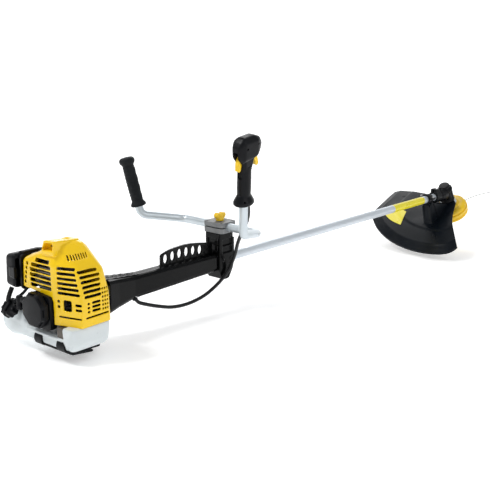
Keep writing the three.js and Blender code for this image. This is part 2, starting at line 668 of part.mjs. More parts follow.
function pivoted(points, pin) {
  return join(prismY(shapeOf(points), -5.8, 5.8), rodY(2, -7, 7, 10).translate(pin.x, 0, pin.z));
}

function throttleTrigger() {
  const outline = [[22, 137], [30, 137], [32, 126], [37, 114], [43, 97], [41, 93], [36, 93], [28, 110], [21, 124]];
  return pivoted(outline, TRIGGER_PIN);
}

function triggerLock() {
  const outline = [[-20, 124], [-13.5, 124], [-13.5, 108], [-19, 92], [-24, 78], [-28, 80], [-27, 100],
    [-20.5, 113]];
  return pivoted(outline, LOCK_PIN);
}

function stopSwitch() {
  return rodY(SWITCH.radius, 4, HANDLE.halfWidth + 4, 14).translate(SWITCH.x, 0, SWITCH.z);
}

// ---------- throttle cable ----------
const CABLE_R = 4.6;
const CABLE_SPLIT = 5;            // route point where the cable passes from the handlebar to the boom
const handleFrame = gripFrame(-1, HANDLE_FOOT);
const inHandle = (x, z) => v(x, 0, z).applyQuaternion(handleFrame.quaternion).add(handleFrame.position);
const ROUTE_DETAIL = 20;          // measured lengths between two points of the route
const cableRoute = [
  inHandle(CABLE_SOCKET.x, 5), inHandle(CABLE_SOCKET.x, -9), v(301, -180, 166), v(316, -162, 140),
  v(335, -130, 106), v(363, -90, 64), v(386, -60, 26), v(394, -42, -2), v(388, -34, -25), v(354, -34, -49),
  v(296, -34, -73), v(235, -32, -82), v(180, -30, -78), v(140, -27, -67), v(105, -21, -55), v(83, -14, -45),
  v(73, -12, -33),
];

class Stretch extends THREE.Curve {
  constructor(whole, start, end) {
    super();
    this.whole = whole;
    this.start = start;
    this.span = end - start;
  }

  getPoint(t) {
    return this.whole.getPointAt(this.start + this.span * t);
  }
}

// The stretch of the route between two of its points, each end drawn back by half of the gap.
function cablePiece(from, to, steps) {
  const curve = new THREE.CatmullRomCurve3(cableRoute, false, 'centripetal');
  const lengths = curve.getLengths(ROUTE_DETAIL * (cableRoute.length - 1));
  const total = lengths.at(-1);
  const start = (lengths[ROUTE_DETAIL * from] + GAP) / total;
  const end = (lengths[ROUTE_DETAIL * to] - GAP) / total;
  return sweep(new Stretch(curve, start, end), CABLE_R, 8, steps);
}

// ---------- gear head, guard, line head: in the gear head's frame, Z up the output axis ----------
const alongBoom = new THREE.Matrix4().makeRotationY(HEAD_TILT);     // for shapes drawn along the boom

function gearcase() {
  const neck = rodX(21, -96, 0, 20).applyMatrix4(alongBoom);
  const ear = box(-96, -72, -10, 10, 12, 30).applyMatrix4(alongBoom);
  const barrel = turned([[0, -30], [24, -30], [27, -22], [27, 20], [20, 27], [20, 38], [16, 41], [0, 41]], 20);
  const cavity = join(rodZ(20, -34, 26, 16), rodX(14, -46, 0, 16).applyMatrix4(alongBoom));
  const bore = rodX(BOOM_R + GAP, -110, -44, 24).applyMatrix4(alongBoom);
  const slit = box(-110, -60, -1.2, 1.2, 5, 40).applyMatrix4(alongBoom);
  return cut(join(neck, ear, barrel), cavity, bore, slit);
}

function bevel(frontRadius, backRadius, length, bore) {
  return turned([[bore, 0], [backRadius, 0], [frontRadius, length], [bore, length], [bore, 0]], 24);
}

function outputGear() {
  const gear = turned([[0, -14], [18, -14], [18, -10], [11, 0], [0, 0]], 24);
  const shaft = rodZ(OUTPUT_R, -58, 10, 16);
  return join(gear, shaft);
}

function guardOutline() {
  const right = THREE.MathUtils.degToRad(180 + 34);
  const left = THREE.MathUtils.degToRad(180 - 65);
  const corner = 0.06;
  const at = (radius, angle) => [radius * Math.cos(angle), radius * Math.sin(angle)];
  const shape = new THREE.Shape();
  shape.moveTo(-26, -26);
  shape.lineTo(...at(GUARD_R - 16, right));
  shape.quadraticCurveTo(...at(GUARD_R, right), ...at(GUARD_R, right - corner));
  shape.absarc(0, 0, GUARD_R, right - corner, left, true);
  shape.lineTo(0, 243);
  shape.quadraticCurveTo(GUARD_FRONT, 236, GUARD_FRONT, 222);
  shape.lineTo(GUARD_FRONT, 30);
  return shape;
}

// The space under the guard's upper surface, or under its lower one when inset by the wall.
function guardDome(inset) {
  const below = -110;
  const points = [[0, GUARD_TOP], [186, GUARD_TOP], [250, GUARD_TOP - 9], [276, GUARD_TOP - 17],
    [GUARD_R, GUARD_TOP - GUARD_DROP], [GUARD_R, below], [0, below]];
  return turned(points.map(([r, z]) => [r > 260 ? r - inset : r, z > below ? z - inset : z]), 36);
}

function guard() {
  const slab = prism(guardOutline(), RIM_Z, GUARD_TOP + 1, 14);
  const shell = keepInside(slab, guardDome(0));
  const top = v(GUARD_NECK_X - GEAR_X, 0, -BOOM_R - 4).applyMatrix4(alongBoom);
  const foot = GUARD_TOP - 1;
  const neck = hull([-1, 1].flatMap((s) => [[top.x - 16, s * 17, top.z - 6], [top.x + 16, s * 17, top.z + 2],
    [top.x - 50, s * 22, foot], [top.x + 22, s * 22, foot]]));
  const tubeWay = rodX(BOOM_R + 5.6, -400, 0, 24).applyMatrix4(alongBoom);
  const caseWay = rodZ(34, -120, 60, 24);
  const neckWay = rodX(25, -110, 0, 20).applyMatrix4(alongBoom);
  return cut(join(cut(shell, guardDome(GUARD_WALL)), neck), tubeWay, caseWay, neckWay);
}

function lineCutter() {
  const angle = THREE.MathUtils.degToRad(180 - 58);
  const blade = box(-1, 1, -16, 16, RIM_Z - 4, RIM_Z + 12);
  return blade.translate(BLADE_R, 0, 0).rotateZ(angle);
}

function guardBracket() {
  const x = GUARD_NECK_X;
  const band = tubeX(BOOM_R + 5, BOOM_R + GAP, x - 14, x + 14, 24);
  const ears = [-1, 1].map((s) => box(x - 12, x + 12, s * 22 - 6, s * 22 + 6, 1, 7));
  return cut(join(band, ...ears), rodX(BOOM_R + GAP, x - 20, x + 20, 24));
}

const HEAD = { top: -46, base: -92, radius: 66 };
const LINE_Z = -70;
const LINE_START = THREE.MathUtils.degToRad(-33);
const LINE_R = 1.3;
const LINE_FREE = 150;
const LINE_CURL = 0.75;           // turn of the direction over the free length, backwards against the spin
const LINE_SAG = 1.4;

function headFlange() {
  return turned([[HUB_BORE, -44], [30, -44], [31, -40], [26, -33], [HUB_BORE, -33], [HUB_BORE, -44]], 28);
}

function headHousing() {
  const { top, base, radius } = HEAD;
  const profile = [[HUB_BORE, top + 1], [32, top + 1], [46, top - 2], [60, top - 10], [radius, top - 20],
    [radius, top - 30], [62, top - 34], [62, base], [57, base], [57, top - 14], [44, top - 6],
    [HUB_BORE, top - 6], [HUB_BORE, top + 1]];
  const eyelets = rodX(3.2, -90, 90, 8).rotateZ(LINE_START).translate(0, 0, LINE_Z);
  return cut(turned(profile, 28), eyelets);
}

function spool() {
  const profile = [[9, -90], [50, -90], [50, -87], [26, -87], [26, -64], [50, -64], [50, -61], [9, -61],
    [9, -90]];
  return turned(profile, 20);
}

function bumpKnob() {
  const profile = [[0, -122], [20, -122], [30, -116], [34, -104], [54, -99], [56.4, -95], [52, -91.5],
    [8, -91.5], [8, -86], [0, -86]];
  return turned(profile, 24);
}

function cuttingLine(side) {
  const steps = 10;
  const start = LINE_START + (side > 0 ? 0 : Math.PI);
  const exit = HEAD.radius + GAP;
  const run = LINE_FREE / steps;
  const points = [v(exit * Math.cos(start), exit * Math.sin(start), LINE_Z)];
  for (let i = 0; i < steps; i += 1) {
    const heading = start - LINE_CURL * (i + 0.5) / steps;
    const step = v(run * Math.cos(heading), run * Math.sin(heading), -LINE_SAG * i / steps);
    points.push(points.at(-1).clone().add(step));
  }
  return sweep(new THREE.CatmullRomCurve3(points), LINE_R, 8, 18);
}

// ---------- assembly ----------
piece(machine, 'cylinder_cover', cylinderCover(), yellow);
piece(machine, 'cylinder_block', finnedCylinder(), castGrey);
piece(machine, 'crankcase', crankcase(), castGrey);
piece(machine, 'piston', rodZ(18.4, 44, 84, 20).translate(CYLINDER_X, 0, 0), steel);
piece(machine, 'crankshaft', crankshaft(), steel);
piece(machine, 'flywheel', flywheel(), aluminium);
piece(machine, 'fan_housing', fanHousing(), black);
piece(machine, 'clutch_rotor', clutchRotor(), steel);
piece(machine, 'clutch_drum', clutchDrum(), steel);
piece(machine, 'clutch_housing', clutchHousing(), black);
piece(machine, 'muffler', muffler(), steel);
piece(machine, 'spark_plug', sparkPlug(), steel);
piece(machine, 'plug_boot', plugBoot(), rubber);
piece(machine, 'carburettor', carburettor(), castGrey);
piece(machine, 'primer_bulb', primerBulb(), nylon);
piece(machine, 'choke_lever', chokeLever(), black);
piece(machine, 'air_filter_base', airFilterBase(), black);
piece(machine, 'air_filter_cover', airFilterCover(), black);
piece(machine, 'starter_housing', starterHousing(), black);
piece(machine, 'starter_pulley', starterPulley(), black);
piece(machine, 'starter_handle', starterHandle(), black);
piece(machine, 'fuel_tank', fuelTank(), tankWhite);
piece(machine, 'fuel_cap', fuelCap(), black);
piece(machine, 'tank_stand', tankStand(), black);

piece(machine, 'boom_tube', tubeX(BOOM_R, BOOM_R - BOOM_WALL, TUBE.x0, TUBE.x1, 28), aluminium);
piece(machine, 'shaft_liner', tubeX(BOOM_R - BOOM_WALL - GAP, DRIVE_R + 1, 30, TUBE.x1 - 60, 16), nylon);
piece(machine, 'boom_cover', boomCover(), black);
piece(machine, 'clamp_column', clampColumn(), black);
piece(machine, 'clamp_lower_plate', clampPlate(PLATE.lower0, BAR_Z - PLATE.halfSplit, false), castGrey);
piece(machine, 'clamp_upper_plate', clampPlate(BAR_Z + PLATE.halfSplit, PLATE.upper1, true), castGrey);
piece(machine, 'clamp_knob', clampKnob(), yellow);
piece(machine, 'handlebar', handlebar(), aluminium);

const leftFrame = gripFrame(1, LEFT_GRIP_FOOT);
piece(leftFrame, 'left_grip', leftGrip(), rubber);
piece(handleFrame, 'throttle_handle_inner', throttleHalf(1), black);
piece(handleFrame, 'throttle_handle_outer', throttleHalf(-1), black);
piece(handleFrame, 'throttle_trigger', throttleTrigger(), yellow);
piece(handleFrame, 'trigger_lock', triggerLock(), yellow);
piece(handleFrame, 'stop_switch', stopSwitch(), material(0xb5261c, 0.45));
piece(machine, 'throttle_cable_upper', cablePiece(0, CABLE_SPLIT, 12), rubber);
piece(machine, 'throttle_cable_lower', cablePiece(CABLE_SPLIT, cableRoute.length - 1, 26), rubber);

piece(machine, 'drive_shaft', rodX(DRIVE_R, -46, GEAR_X - 34, 12), steel);
piece(machine, 'input_pinion', toX(bevel(8, 13, 14, DRIVE_R + 0.3)).translate(GEAR_X - 48, 0, 0), steel);
piece(machine, 'guard_bracket', guardBracket(), black);
piece(gearhead, 'gearcase', gearcase(), black);
piece(gearhead, 'output_gear', outputGear(), steel);
piece(gearhead, 'guard', guard(), black);
piece(gearhead, 'line_cutter', lineCutter(), steel);
piece(gearhead, 'head_flange', headFlange(), aluminium);
piece(gearhead, 'head_housing', headHousing(), yellow);
piece(gearhead, 'spool', spool(), black);
piece(gearhead, 'bump_knob', bumpKnob(), yellow);
piece(gearhead, 'cutting_line_front', cuttingLine(1), nylon);
piece(gearhead, 'cutting_line_rear', cuttingLine(-1), nylon);

export default trimmer;
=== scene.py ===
import json
import math

import bmesh
import bpy
from mathutils import Matrix, Vector


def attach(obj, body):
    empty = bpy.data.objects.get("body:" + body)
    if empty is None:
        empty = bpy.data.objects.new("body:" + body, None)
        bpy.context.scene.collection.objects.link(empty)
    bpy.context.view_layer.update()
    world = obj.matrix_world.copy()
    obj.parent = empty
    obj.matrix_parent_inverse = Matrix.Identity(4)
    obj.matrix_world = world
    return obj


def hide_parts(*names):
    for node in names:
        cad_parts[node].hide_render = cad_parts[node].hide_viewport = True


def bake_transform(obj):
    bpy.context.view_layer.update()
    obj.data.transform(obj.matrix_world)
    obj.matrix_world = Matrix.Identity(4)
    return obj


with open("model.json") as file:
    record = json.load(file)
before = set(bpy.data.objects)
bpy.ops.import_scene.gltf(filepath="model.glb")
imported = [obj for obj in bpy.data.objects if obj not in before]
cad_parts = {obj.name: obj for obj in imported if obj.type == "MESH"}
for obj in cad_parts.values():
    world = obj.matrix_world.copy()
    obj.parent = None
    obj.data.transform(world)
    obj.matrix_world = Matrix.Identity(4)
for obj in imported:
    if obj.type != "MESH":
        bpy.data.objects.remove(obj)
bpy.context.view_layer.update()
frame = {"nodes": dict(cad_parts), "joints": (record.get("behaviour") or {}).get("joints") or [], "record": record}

# ---------------------------------------------------------------- frames
# Shapes are drawn in millimetres, in the boom's frame (x along the boom, y to the operator's left, z up),
# in the line head's frame (z up the output axis) or in a grip's frame (z up the grip, x forwards).


def joint(name):
    return next(j for j in frame["joints"] if j["name"] == name)


def basis(x, y, z, origin):
    matrix = Matrix((x, y, z)).transposed().to_4x4()
    matrix.translation = origin
    return matrix @ Matrix.Scale(0.001, 4)


LEFT = Vector((0, 1, 0))
along = Vector(joint("crank_spin")["axis"]).normalized()
BOOM = basis(along, LEFT, along.cross(LEFT), Vector(joint("crank_spin")["pos_m"]))
upward = Vector(joint("head_spin")["axis"]).normalized()
HEAD = basis(LEFT.cross(upward), LEFT, upward, Vector(joint("head_spin")["pos_m"]))

BOOM_R = 13
BAR_R = 11
CLAMP_X = 392
BAR_Z = 92
CYLINDER_X = -132
PLUG_Y = -16
GEAR_X = 1632
GRIP_FOOT = Vector((277, 183, 115))
GRIP_LEAN = Vector((-0.16, 0.17, 1))
HANDLE_FOOT = 82
LEFT_GRIP_FOOT = 27


def grip_point(t, side):
    p = GRIP_FOOT + GRIP_LEAN * t
    return Vector((p.x, side * p.y, p.z))


def grip_frame(side, t):
    z = Vector((GRIP_LEAN.x, side * GRIP_LEAN.y, GRIP_LEAN.z)).normalized()
    y = (LEFT - z * z.y).normalized()
    local = Matrix((y.cross(z), y, z)).transposed().to_4x4()
    local.translation = grip_point(t, side)
    return BOOM @ local


HANDLE = grip_frame(-1, HANDLE_FOOT)
LEFT_GRIP = grip_frame(1, LEFT_GRIP_FOOT)


# ---------------------------------------------------------------- mesh tools
def from_bm(bm):
    bmesh.ops.remove_doubles(bm, verts=bm.verts, dist=1e-4)
    bmesh.ops.recalc_face_normals(bm, faces=bm.faces)
    mesh = bpy.data.meshes.new("solid")
    bm.to_mesh(mesh)
    bm.free()
    return mesh


def holder(mesh):
    obj = bpy.data.objects.new("holder", mesh)
    bpy.context.scene.collection.objects.link(obj)
    return obj


def applied(obj, helpers=()):
    """The object's mesh with its modifiers applied; the object and its helpers go."""
    bpy.context.view_layer.update()
    graph = bpy.context.evaluated_depsgraph_get()
    mesh = bpy.data.meshes.new_from_object(obj.evaluated_get(graph))
    for item in (obj, *helpers):
        bpy.data.objects.remove(item)
    return mesh


def combined(operation, base, tools):
    obj = holder(base)
    helpers = [holder(tool) for tool in tools]
    for helper in helpers:
        helper.hide_render = True
        modifier = obj.modifiers.new("solid", "BOOLEAN")
        modifier.solver = "MANIFOLD"
        modifier.operation = operation
        modifier.object = helper
    return applied(obj, helpers)


def cut(base, *tools):
    return combined("DIFFERENCE", base, tools)


def join(base, *others):
    return combined("UNION", base, others)


def keep(base, *limits):
    return combined("INTERSECT", base, limits)


def softened(mesh, voxel, rounds, factor=0.5):
    """The solid remeshed evenly and smoothed, so that every edge gets the round of a moulding."""
    obj = holder(mesh)
    remesh = obj.modifiers.new("even", "REMESH")
    remesh.mode = "VOXEL"
    remesh.voxel_size = voxel
    smooth = obj.modifiers.new("round", "SMOOTH")
    smooth.iterations = rounds
    smooth.factor = factor
    return applied(obj)


def bevelled(mesh, width, segments=2, angle=32):
    obj = holder(mesh)
    bevel = obj.modifiers.new("edge", "BEVEL")
    bevel.width = width
    bevel.segments = segments
    bevel.limit_method = "ANGLE"
    bevel.angle_limit = math.radians(angle)
    return applied(obj)


def moved(mesh, matrix):
    mesh.transform(matrix)
    return mesh


def turned_by(mesh, degrees, axis, centre=(0, 0, 0)):
    there = Matrix.Translation(centre)
    return moved(mesh, there @ Matrix.Rotation(math.radians(degrees), 4, axis) @ there.inverted())


def shifted(mesh, x=0, y=0, z=0):
    return moved(mesh, Matrix.Translation((x, y, z)))


def hull(points):
    bm = bmesh.new()
    for p in points:
        bm.verts.new(p)
    made = bmesh.ops.convex_hull(bm, input=bm.verts)
    loose = [v for v in made["geom_interior"] + made["geom_unused"] if isinstance(v, bmesh.types.BMVert)]
    bmesh.ops.delete(bm, geom=list(set(loose)), context="VERTS")
    bmesh.ops.dissolve_limit(bm, angle_limit=0.01, verts=bm.verts, edges=bm.edges)
    return from_bm(bm)


def ball(centre, radius, rings=6, sides=12):
    """Points of a sphere, for hulls with round corners."""
    points = []
    for i in range(rings + 1):
        lift = math.pi * (i / rings - 0.5)
        for k in range(sides):
            a = 2 * math.pi * k / sides
            points.append((centre[0] + radius * math.cos(lift) * math.cos(a),
                           centre[1] + radius * math.cos(lift) * math.sin(a),
                           centre[2] + radius * math.sin(lift)))
    return points


def rounded_hull(centres, radius):
    return hull([q for p in centres for q in ball(p, radius)])


def mirrored(points):
    """Each point and its image across y = 0."""
    return [(x, side * y, z) for x, y, z in points for side in (-1, 1)]


def at_x(xs, *yz):
    """The points (y, z) of a flat outline, at each of the x."""
    return [(x, y, z) for x in xs for y, z in yz]


def block(x0, x1, y0, y1, z0, z1):
    return hull([(x, y, z) for x in (x0, x1) for y in (y0, y1) for z in (z0, z1)])


def rounded_outline(u0, u1, v0, v1, radius, steps=5):
    points = []
    corners = ((u1 - radius, v0 + radius, -90), (u1 - radius, v1 - radius, 0),
               (u0 + radius, v1 - radius, 90), (u0 + radius, v0 + radius, 180))
    for u, v, start in corners:
        for i in range(steps + 1):
            a = math.radians(start + 90 * i / steps)
            points.append((u + radius * math.cos(a), v + radius * math.sin(a)))
    return points


# How a flat outline (u, v) and its depth w lie in x, y, z.
LAY = {"x": lambda u, v, w: (w, u, v), "y": lambda u, v, w: (u, w, v), "z": lambda u, v, w: (u, v, w)}


def prism(outline, w0, w1, axis="z"):
    lay = LAY[axis]
    bm = bmesh.new()
    rings = [[bm.verts.new(lay(u, v, w)) for u, v in outline] for w in (w0, w1)]
    count = len(outline)
    for i in range(count):
        j = (i + 1) % count
        bm.faces.new((rings[0][i], rings[0][j], rings[1][j], rings[1][i]))
    bm.faces.new(rings[0])
    bm.faces.new(rings[1])
    return from_bm(bm)


def curve_through(points, steps=8):
    """A smooth outline through the points, open."""
    found = []
    padded = [points[0], *points, points[-1]]
    for a, b, c, d in zip(padded, padded[1:], padded[2:], padded[3:]):
        for i in range(steps):
            t = i / steps
            found.append(tuple(0.5 * (2 * q + (r - p) * t + (2 * p - 5 * q + 4 * r - s) * t * t
                                      + (3 * q - p - 3 * r + s) * t ** 3) for p, q, r, s in zip(a, b, c, d)))
    return [*found, tuple(points[-1])]


def lathe(profile, segments=48, axis="z", shape=None):
    """A turned solid; the profile is [(radius, height)] and starts and ends on the axis, or closes on itself.
    shape(radius, height, angle) may give another radius."""
    lay = LAY[axis]
    closed = profile[0] == profile[-1]
    rows = profile[:-1] if closed else profile
    bm = bmesh.new()
    grid = []
    for r, h in rows:
        if r < 1e-6:
            grid.append([bm.verts.new(lay(0, 0, h))])
            continue
        ring = []
        for i in range(segments):
            a = 2 * math.pi * i / segments
            radius = shape(r, h, a) if shape else r
            ring.append(bm.verts.new(lay(radius * math.cos(a), radius * math.sin(a), h)))
        grid.append(ring)
    pairs = list(zip(grid, grid[1:] + ([grid[0]] if closed else [])))
    for low, high in pairs[:len(grid) if closed else len(grid) - 1]:
        for i in range(segments):
            j = (i + 1) % segments
            corners = [low[i % len(low)], low[j % len(low)], high[j % len(high)], high[i % len(high)]]
            face = list(dict.fromkeys(corners))
            if len(face) > 2:
                bm.faces.new(face)
    return from_bm(bm)


def rod(radius, a, b, sides=24, axis="x"):
    return lathe([(0, a), (radius, a), (radius, b), (0, b)], sides, axis)


def tube(outer, inner, a, b, sides=48, axis="x"):
    return lathe([(inner, a), (outer, a), (outer, b), (inner, b), (inner, a)], sides, axis)


def sweep(path, radius, sides=20, ends=True):
    """A round bar along a path, its section carried along without twist; radius may be a function of t."""
    path = [Vector(p) for p in path]
    size = radius if callable(radius) else lambda t: radius
    last = len(path) - 1
    tangents = [(path[min(i + 1, last)] - path[max(i - 1, 0)]).normalized() for i in range(last + 1)]
    normal = tangents[0].orthogonal().normalized()
    bm = bmesh.new()
    rings = []
    for i, (p, t) in enumerate(zip(path, tangents)):
        normal = (normal - t * normal.dot(t)).normalized()
        side = t.cross(normal)
        r = size(i / last)
        rings.append([bm.verts.new(p + r * (normal * math.cos(a) + side * math.sin(a)))
                      for a in (2 * math.pi * k / sides for k in range(sides))])
    for low, high in zip(rings, rings[1:]):
        for i in range(sides):
            j = (i + 1) % sides
            bm.faces.new((low[i], low[j], high[j], high[i]))
    if ends:
        bm.faces.new(rings[0])
        bm.faces.new(rings[-1])
    return from_bm(bm)


def filleted(corners, radii, steps=9):
    """The path through the corners with round bends."""
    corners = [Vector(c) for c in corners]
    path = [corners[0]]
    for a, b, c, radius in zip(corners, corners[1:], corners[2:], radii):
        before, after = (a - b).normalized(), (c - b).normalized()
        half = before.angle(after) / 2
        reach = radius / math.tan(half)
        centre = b + (before + after).normalized() * radius / math.sin(half)
        start, end = b + before * reach - centre, b + after * reach - centre
        for i in range(steps + 1):
            path.append(centre + start.slerp(end, i / steps) * (radius / start.slerp(end, i / steps).length))
    path.append(corners[-1])
    return path


def through(points, steps=6):
    """A centripetal Catmull-Rom curve through the points."""
    points = [Vector(p) for p in points]
    padded = [2 * points[0] - points[1], *points, 2 * points[-1] - points[-2]]
    found = []
    for p0, p1, p2, p3 in zip(padded, padded[1:], padded[2:], padded[3:]):
        t1 = (p1 - p0).length ** 0.5
        t2 = t1 + (p2 - p1).length ** 0.5
        t3 = t2 + (p3 - p2).length ** 0.5
        for i in range(steps):
            t = t1 + (t2 - t1) * i / steps
            a1 = p0.lerp(p1, t / t1)
            a2 = p1.lerp(p2, (t - t1) / (t2 - t1))
            a3 = p2.lerp(p3, (t - t2) / (t3 - t2))
            b1 = a1.lerp(a2, t / t2)
            b2 = a2.lerp(a3, (t - t1) / (t3 - t1))
            found.append(b1.lerp(b2, (t - t1) / (t2 - t1)))
    return [*found, points[-1]]


def joined(*meshes):
    """Separate closed shells in one mesh."""
    bm = bmesh.new()
    for mesh in meshes:
        bm.from_mesh(mesh)
    mesh = bpy.data.meshes.new("shells")
    bm.to_mesh(mesh)
    bm.free()
    return mesh


def piece(name, mesh, material, body, replaces=(), place=BOOM, sharp=35):
    mesh.transform(place)
    mesh.name = name
    mesh.materials.clear()
    mesh.materials.append(material)
    mesh.polygons.foreach_set("use_smooth", [True] * len(mesh.polygons))
    mesh.set_sharp_from_angle(angle=math.radians(sharp))
    obj = bpy.data.objects.new(name, mesh)
    bpy.context.scene.collection.objects.link(obj)
    if body:
        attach(obj, body)
    if replaces:
        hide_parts(*replaces)
    return obj


# ---------------------------------------------------------------- materials
def node(tree, kind, inputs=(), **settings):
    made = tree.nodes.new(kind)
    for key, value in settings.items():
        setattr(made, key, value)
    for key, value in inputs:
        made.inputs[key].default_value = value
    return made


def surface(name, color, roughness, metallic=0.0, coat=0.0, grain=(900, 0.12), mottle=(14, 0.10), smudge=0.10,
            wear=None, brushed=None, scatter=0.0, dust=0.0, specular=0.5):
    """A procedural finish: grain is (scale, bump strength), mottle (scale, amount of light and dark), smudge
    the swing of the roughness, wear (colour of rubbed edges, amount), brushed the direction of drawing marks,
    scatter the subsurface weight, dust the most grey dust that is mixed in."""
    material = bpy.data.materials.new(name)
    material.use_nodes = True
    tree = material.node_tree
    shader = tree.nodes["Principled BSDF"]
    link = tree.links.new
    shader.inputs["Metallic"].default_value = metallic
    shader.inputs["Specular IOR Level"].default_value = specular
    shader.inputs["Coat Weight"].default_value = coat
    shader.inputs["Coat Roughness"].default_value = 0.12
    if scatter:
        shader.inputs["Subsurface Weight"].default_value = scatter
        shader.inputs["Subsurface Radius"].default_value = (0.02, 0.02, 0.022)
        shader.inputs["Subsurface Scale"].default_value = 0.4
    place = node(tree, "ShaderNodeTexCoord").outputs["Object"]

    clouds = node(tree, "ShaderNodeTexNoise", [("Scale", mottle[0]), ("Detail", 5.0), ("Roughness", 0.55)])
    link(place, clouds.inputs["Vector"])
    shade = node(tree, "ShaderNodeMapRange", [("From Min", 0.3), ("From Max", 0.7), ("To Min", 1 - mottle[1]),
                                              ("To Max", 1 + mottle[1] * 0.6)])
    link(clouds.outputs["Fac"], shade.inputs["Value"])
    tone = node(tree, "ShaderNodeHueSaturation", [("Color", (*color, 1))])
    link(shade.outputs["Result"], tone.inputs["Value"])
    paint = tone.outputs["Color"]

    if dust:
        specks = node(tree, "ShaderNodeTexNoise", [("Scale", 60.0), ("Detail", 8.0), ("Roughness", 0.7)])
        link(place, specks.inputs["Vector"])
        amount = node(tree, "ShaderNodeMapRange", [("From Min", 0.52), ("From Max", 0.8), ("To Max", dust)])
        link(specks.outputs["Fac"], amount.inputs["Value"])
        dusty = node(tree, "ShaderNodeMix", data_type="RGBA")
        dusty.inputs["B"].default_value = (0.30, 0.29, 0.27, 1)
        link(amount.outputs["Result"], dusty.inputs["Factor"])
        link(paint, dusty.inputs["A"])
        paint = dusty.outputs["Result"]

    if wear:
        soft = node(tree, "ShaderNodeBevel", [("Radius", 0.0012)], samples=4)
        facing = node(tree, "ShaderNodeNewGeometry")
        edge = node(tree, "ShaderNodeVectorMath", operation="DOT_PRODUCT")
        link(soft.outputs["Normal"], edge.inputs[0])
        link(facing.outputs["Normal"], edge.inputs[1])
        bare = node(tree, "ShaderNodeMapRange", [("From Min", 0.985), ("From Max", 0.80),
                                                  ("To Max", wear[1])])
        link(edge.outputs["Value"], bare.inputs["Value"])
        patchy = node(tree, "ShaderNodeMath", operation="MULTIPLY")
        link(bare.outputs["Result"], patchy.inputs[0])
        link(clouds.outputs["Fac"], patchy.inputs[1])
        worn = node(tree, "ShaderNodeMix", data_type="RGBA")
        worn.inputs["B"].default_value = (*wear[0], 1)
        link(patchy.outputs["Value"], worn.inputs["Factor"])
        link(paint, worn.inputs["A"])
        paint = worn.outputs["Result"]
    link(paint, shader.inputs["Base Color"])

    haze = node(tree, "ShaderNodeTexNoise", [("Scale", 22.0), ("Detail", 6.0), ("Distortion", 0.6)])
    link(place, haze.inputs["Vector"])
    polish = node(tree, "ShaderNodeMapRange", [("From Min", 0.3), ("From Max", 0.7),
                                               ("To Min", max(0.05, roughness - smudge)),
                                               ("To Max", min(1.0, roughness + smudge))])
    link(haze.outputs["Fac"], polish.inputs["Value"])
    link(polish.outputs["Result"], shader.inputs["Roughness"])

    fine = node(tree, "ShaderNodeTexNoise", [("Scale", grain[0]), ("Detail", 3.0), ("Roughness", 0.6)])
    if brushed:
        stretch = node(tree, "ShaderNodeMapping")
        stretch.inputs["Scale"].default_value = brushed
        link(place, stretch.inputs["Vector"])
        link(stretch.outputs["Vector"], fine.inputs["Vector"])
    else:
        link(place, fine.inputs["Vector"])
    bump = node(tree, "ShaderNodeBump", [("Strength", grain[1]), ("Distance", 0.0004)])
    link(fine.outputs["Fac"], bump.inputs["Height"])
    link(bump.outputs["Normal"], shader.inputs["Normal"])
    return material


YELLOW = (0.93, 0.60, 0.004)
YELLOW_EDGE = (0.95, 0.70, 0.12)
PALE_EDGE = (0.07, 0.07, 0.075)
shroud_yellow = surface("shroud_yellow", YELLOW, 0.20, coat=0.35, grain=(700, 0.04), mottle=(9, 0.07),
                        wear=(YELLOW_EDGE, 0.5), specular=0.3)
head_yellow = surface("head_yellow", (0.90, 0.58, 0.006), 0.38, coat=0.1, grain=(800, 0.12),
                      mottle=(18, 0.10),
                      wear=(YELLOW_EDGE, 0.8))
black_plastic = surface("black_plastic", (0.0045, 0.005, 0.0065), 0.40, grain=(1300, 0.25), mottle=(20, 0.25),
                        wear=(PALE_EDGE, 0.3), dust=0.005, specular=0.15)
gloss_black = surface("gloss_black", (0.0025, 0.0027, 0.003), 0.22, grain=(600, 0.03), mottle=(10, 0.25),
                      smudge=0.04, wear=((0.03, 0.03, 0.032), 0.15), specular=0.13)
guard_black = surface("guard_black", (0.0035, 0.0055, 0.0085), 0.36, grain=(500, 0.08), mottle=(12, 0.25),
                      wear=(PALE_EDGE, 0.3), dust=0.005, specular=0.14)
rubber = surface("black_rubber", (0.006, 0.008, 0.010), 0.60, grain=(1500, 0.40), mottle=(30, 0.2), dust=0.01,
                 specular=0.2)
cable_black = surface("cable_black", (0.008, 0.008, 0.009), 0.42, grain=(900, 0.2), mottle=(30, 0.2),
                      specular=0.25)
tube_alloy = surface("tube_alloy", (0.66, 0.71, 0.76), 0.42, metallic=0.5, grain=(260, 0.08),
                     mottle=(6, 0.05),
                     brushed=(1, 14, 14))
bar_alloy = surface("bar_alloy", (0.62, 0.68, 0.72), 0.36, metallic=0.5, grain=(420, 0.05), mottle=(8, 0.05))
cast_alloy = surface("cast_alloy", (0.20, 0.205, 0.21), 0.55, metallic=0.35, grain=(1100, 0.55),
                     mottle=(26, 0.18),
                     wear=((0.5, 0.5, 0.5), 0.7))
steel = surface("steel", (0.50, 0.50, 0.51), 0.33, metallic=1.0, grain=(600, 0.12), mottle=(20, 0.15),
                brushed=(1, 8, 8))
dark_steel = surface("dark_steel", (0.06, 0.06, 0.065), 0.40, metallic=0.9, grain=(900, 0.2),
                     mottle=(30, 0.2))
soot = surface("soot", (0.010, 0.009, 0.008), 0.85, grain=(900, 0.4), mottle=(30, 0.3), specular=0.1)
bracket_grey = surface("bracket_grey", (0.11, 0.095, 0.08), 0.55, metallic=0.3, grain=(900, 0.3),
                       mottle=(30, 0.3),
                       wear=((0.3, 0.28, 0.25), 0.6))
tank_plastic = surface("tank_plastic", (0.68, 0.73, 0.745), 0.34, grain=(350, 0.06), mottle=(7, 0.05),
                       scatter=0.25)
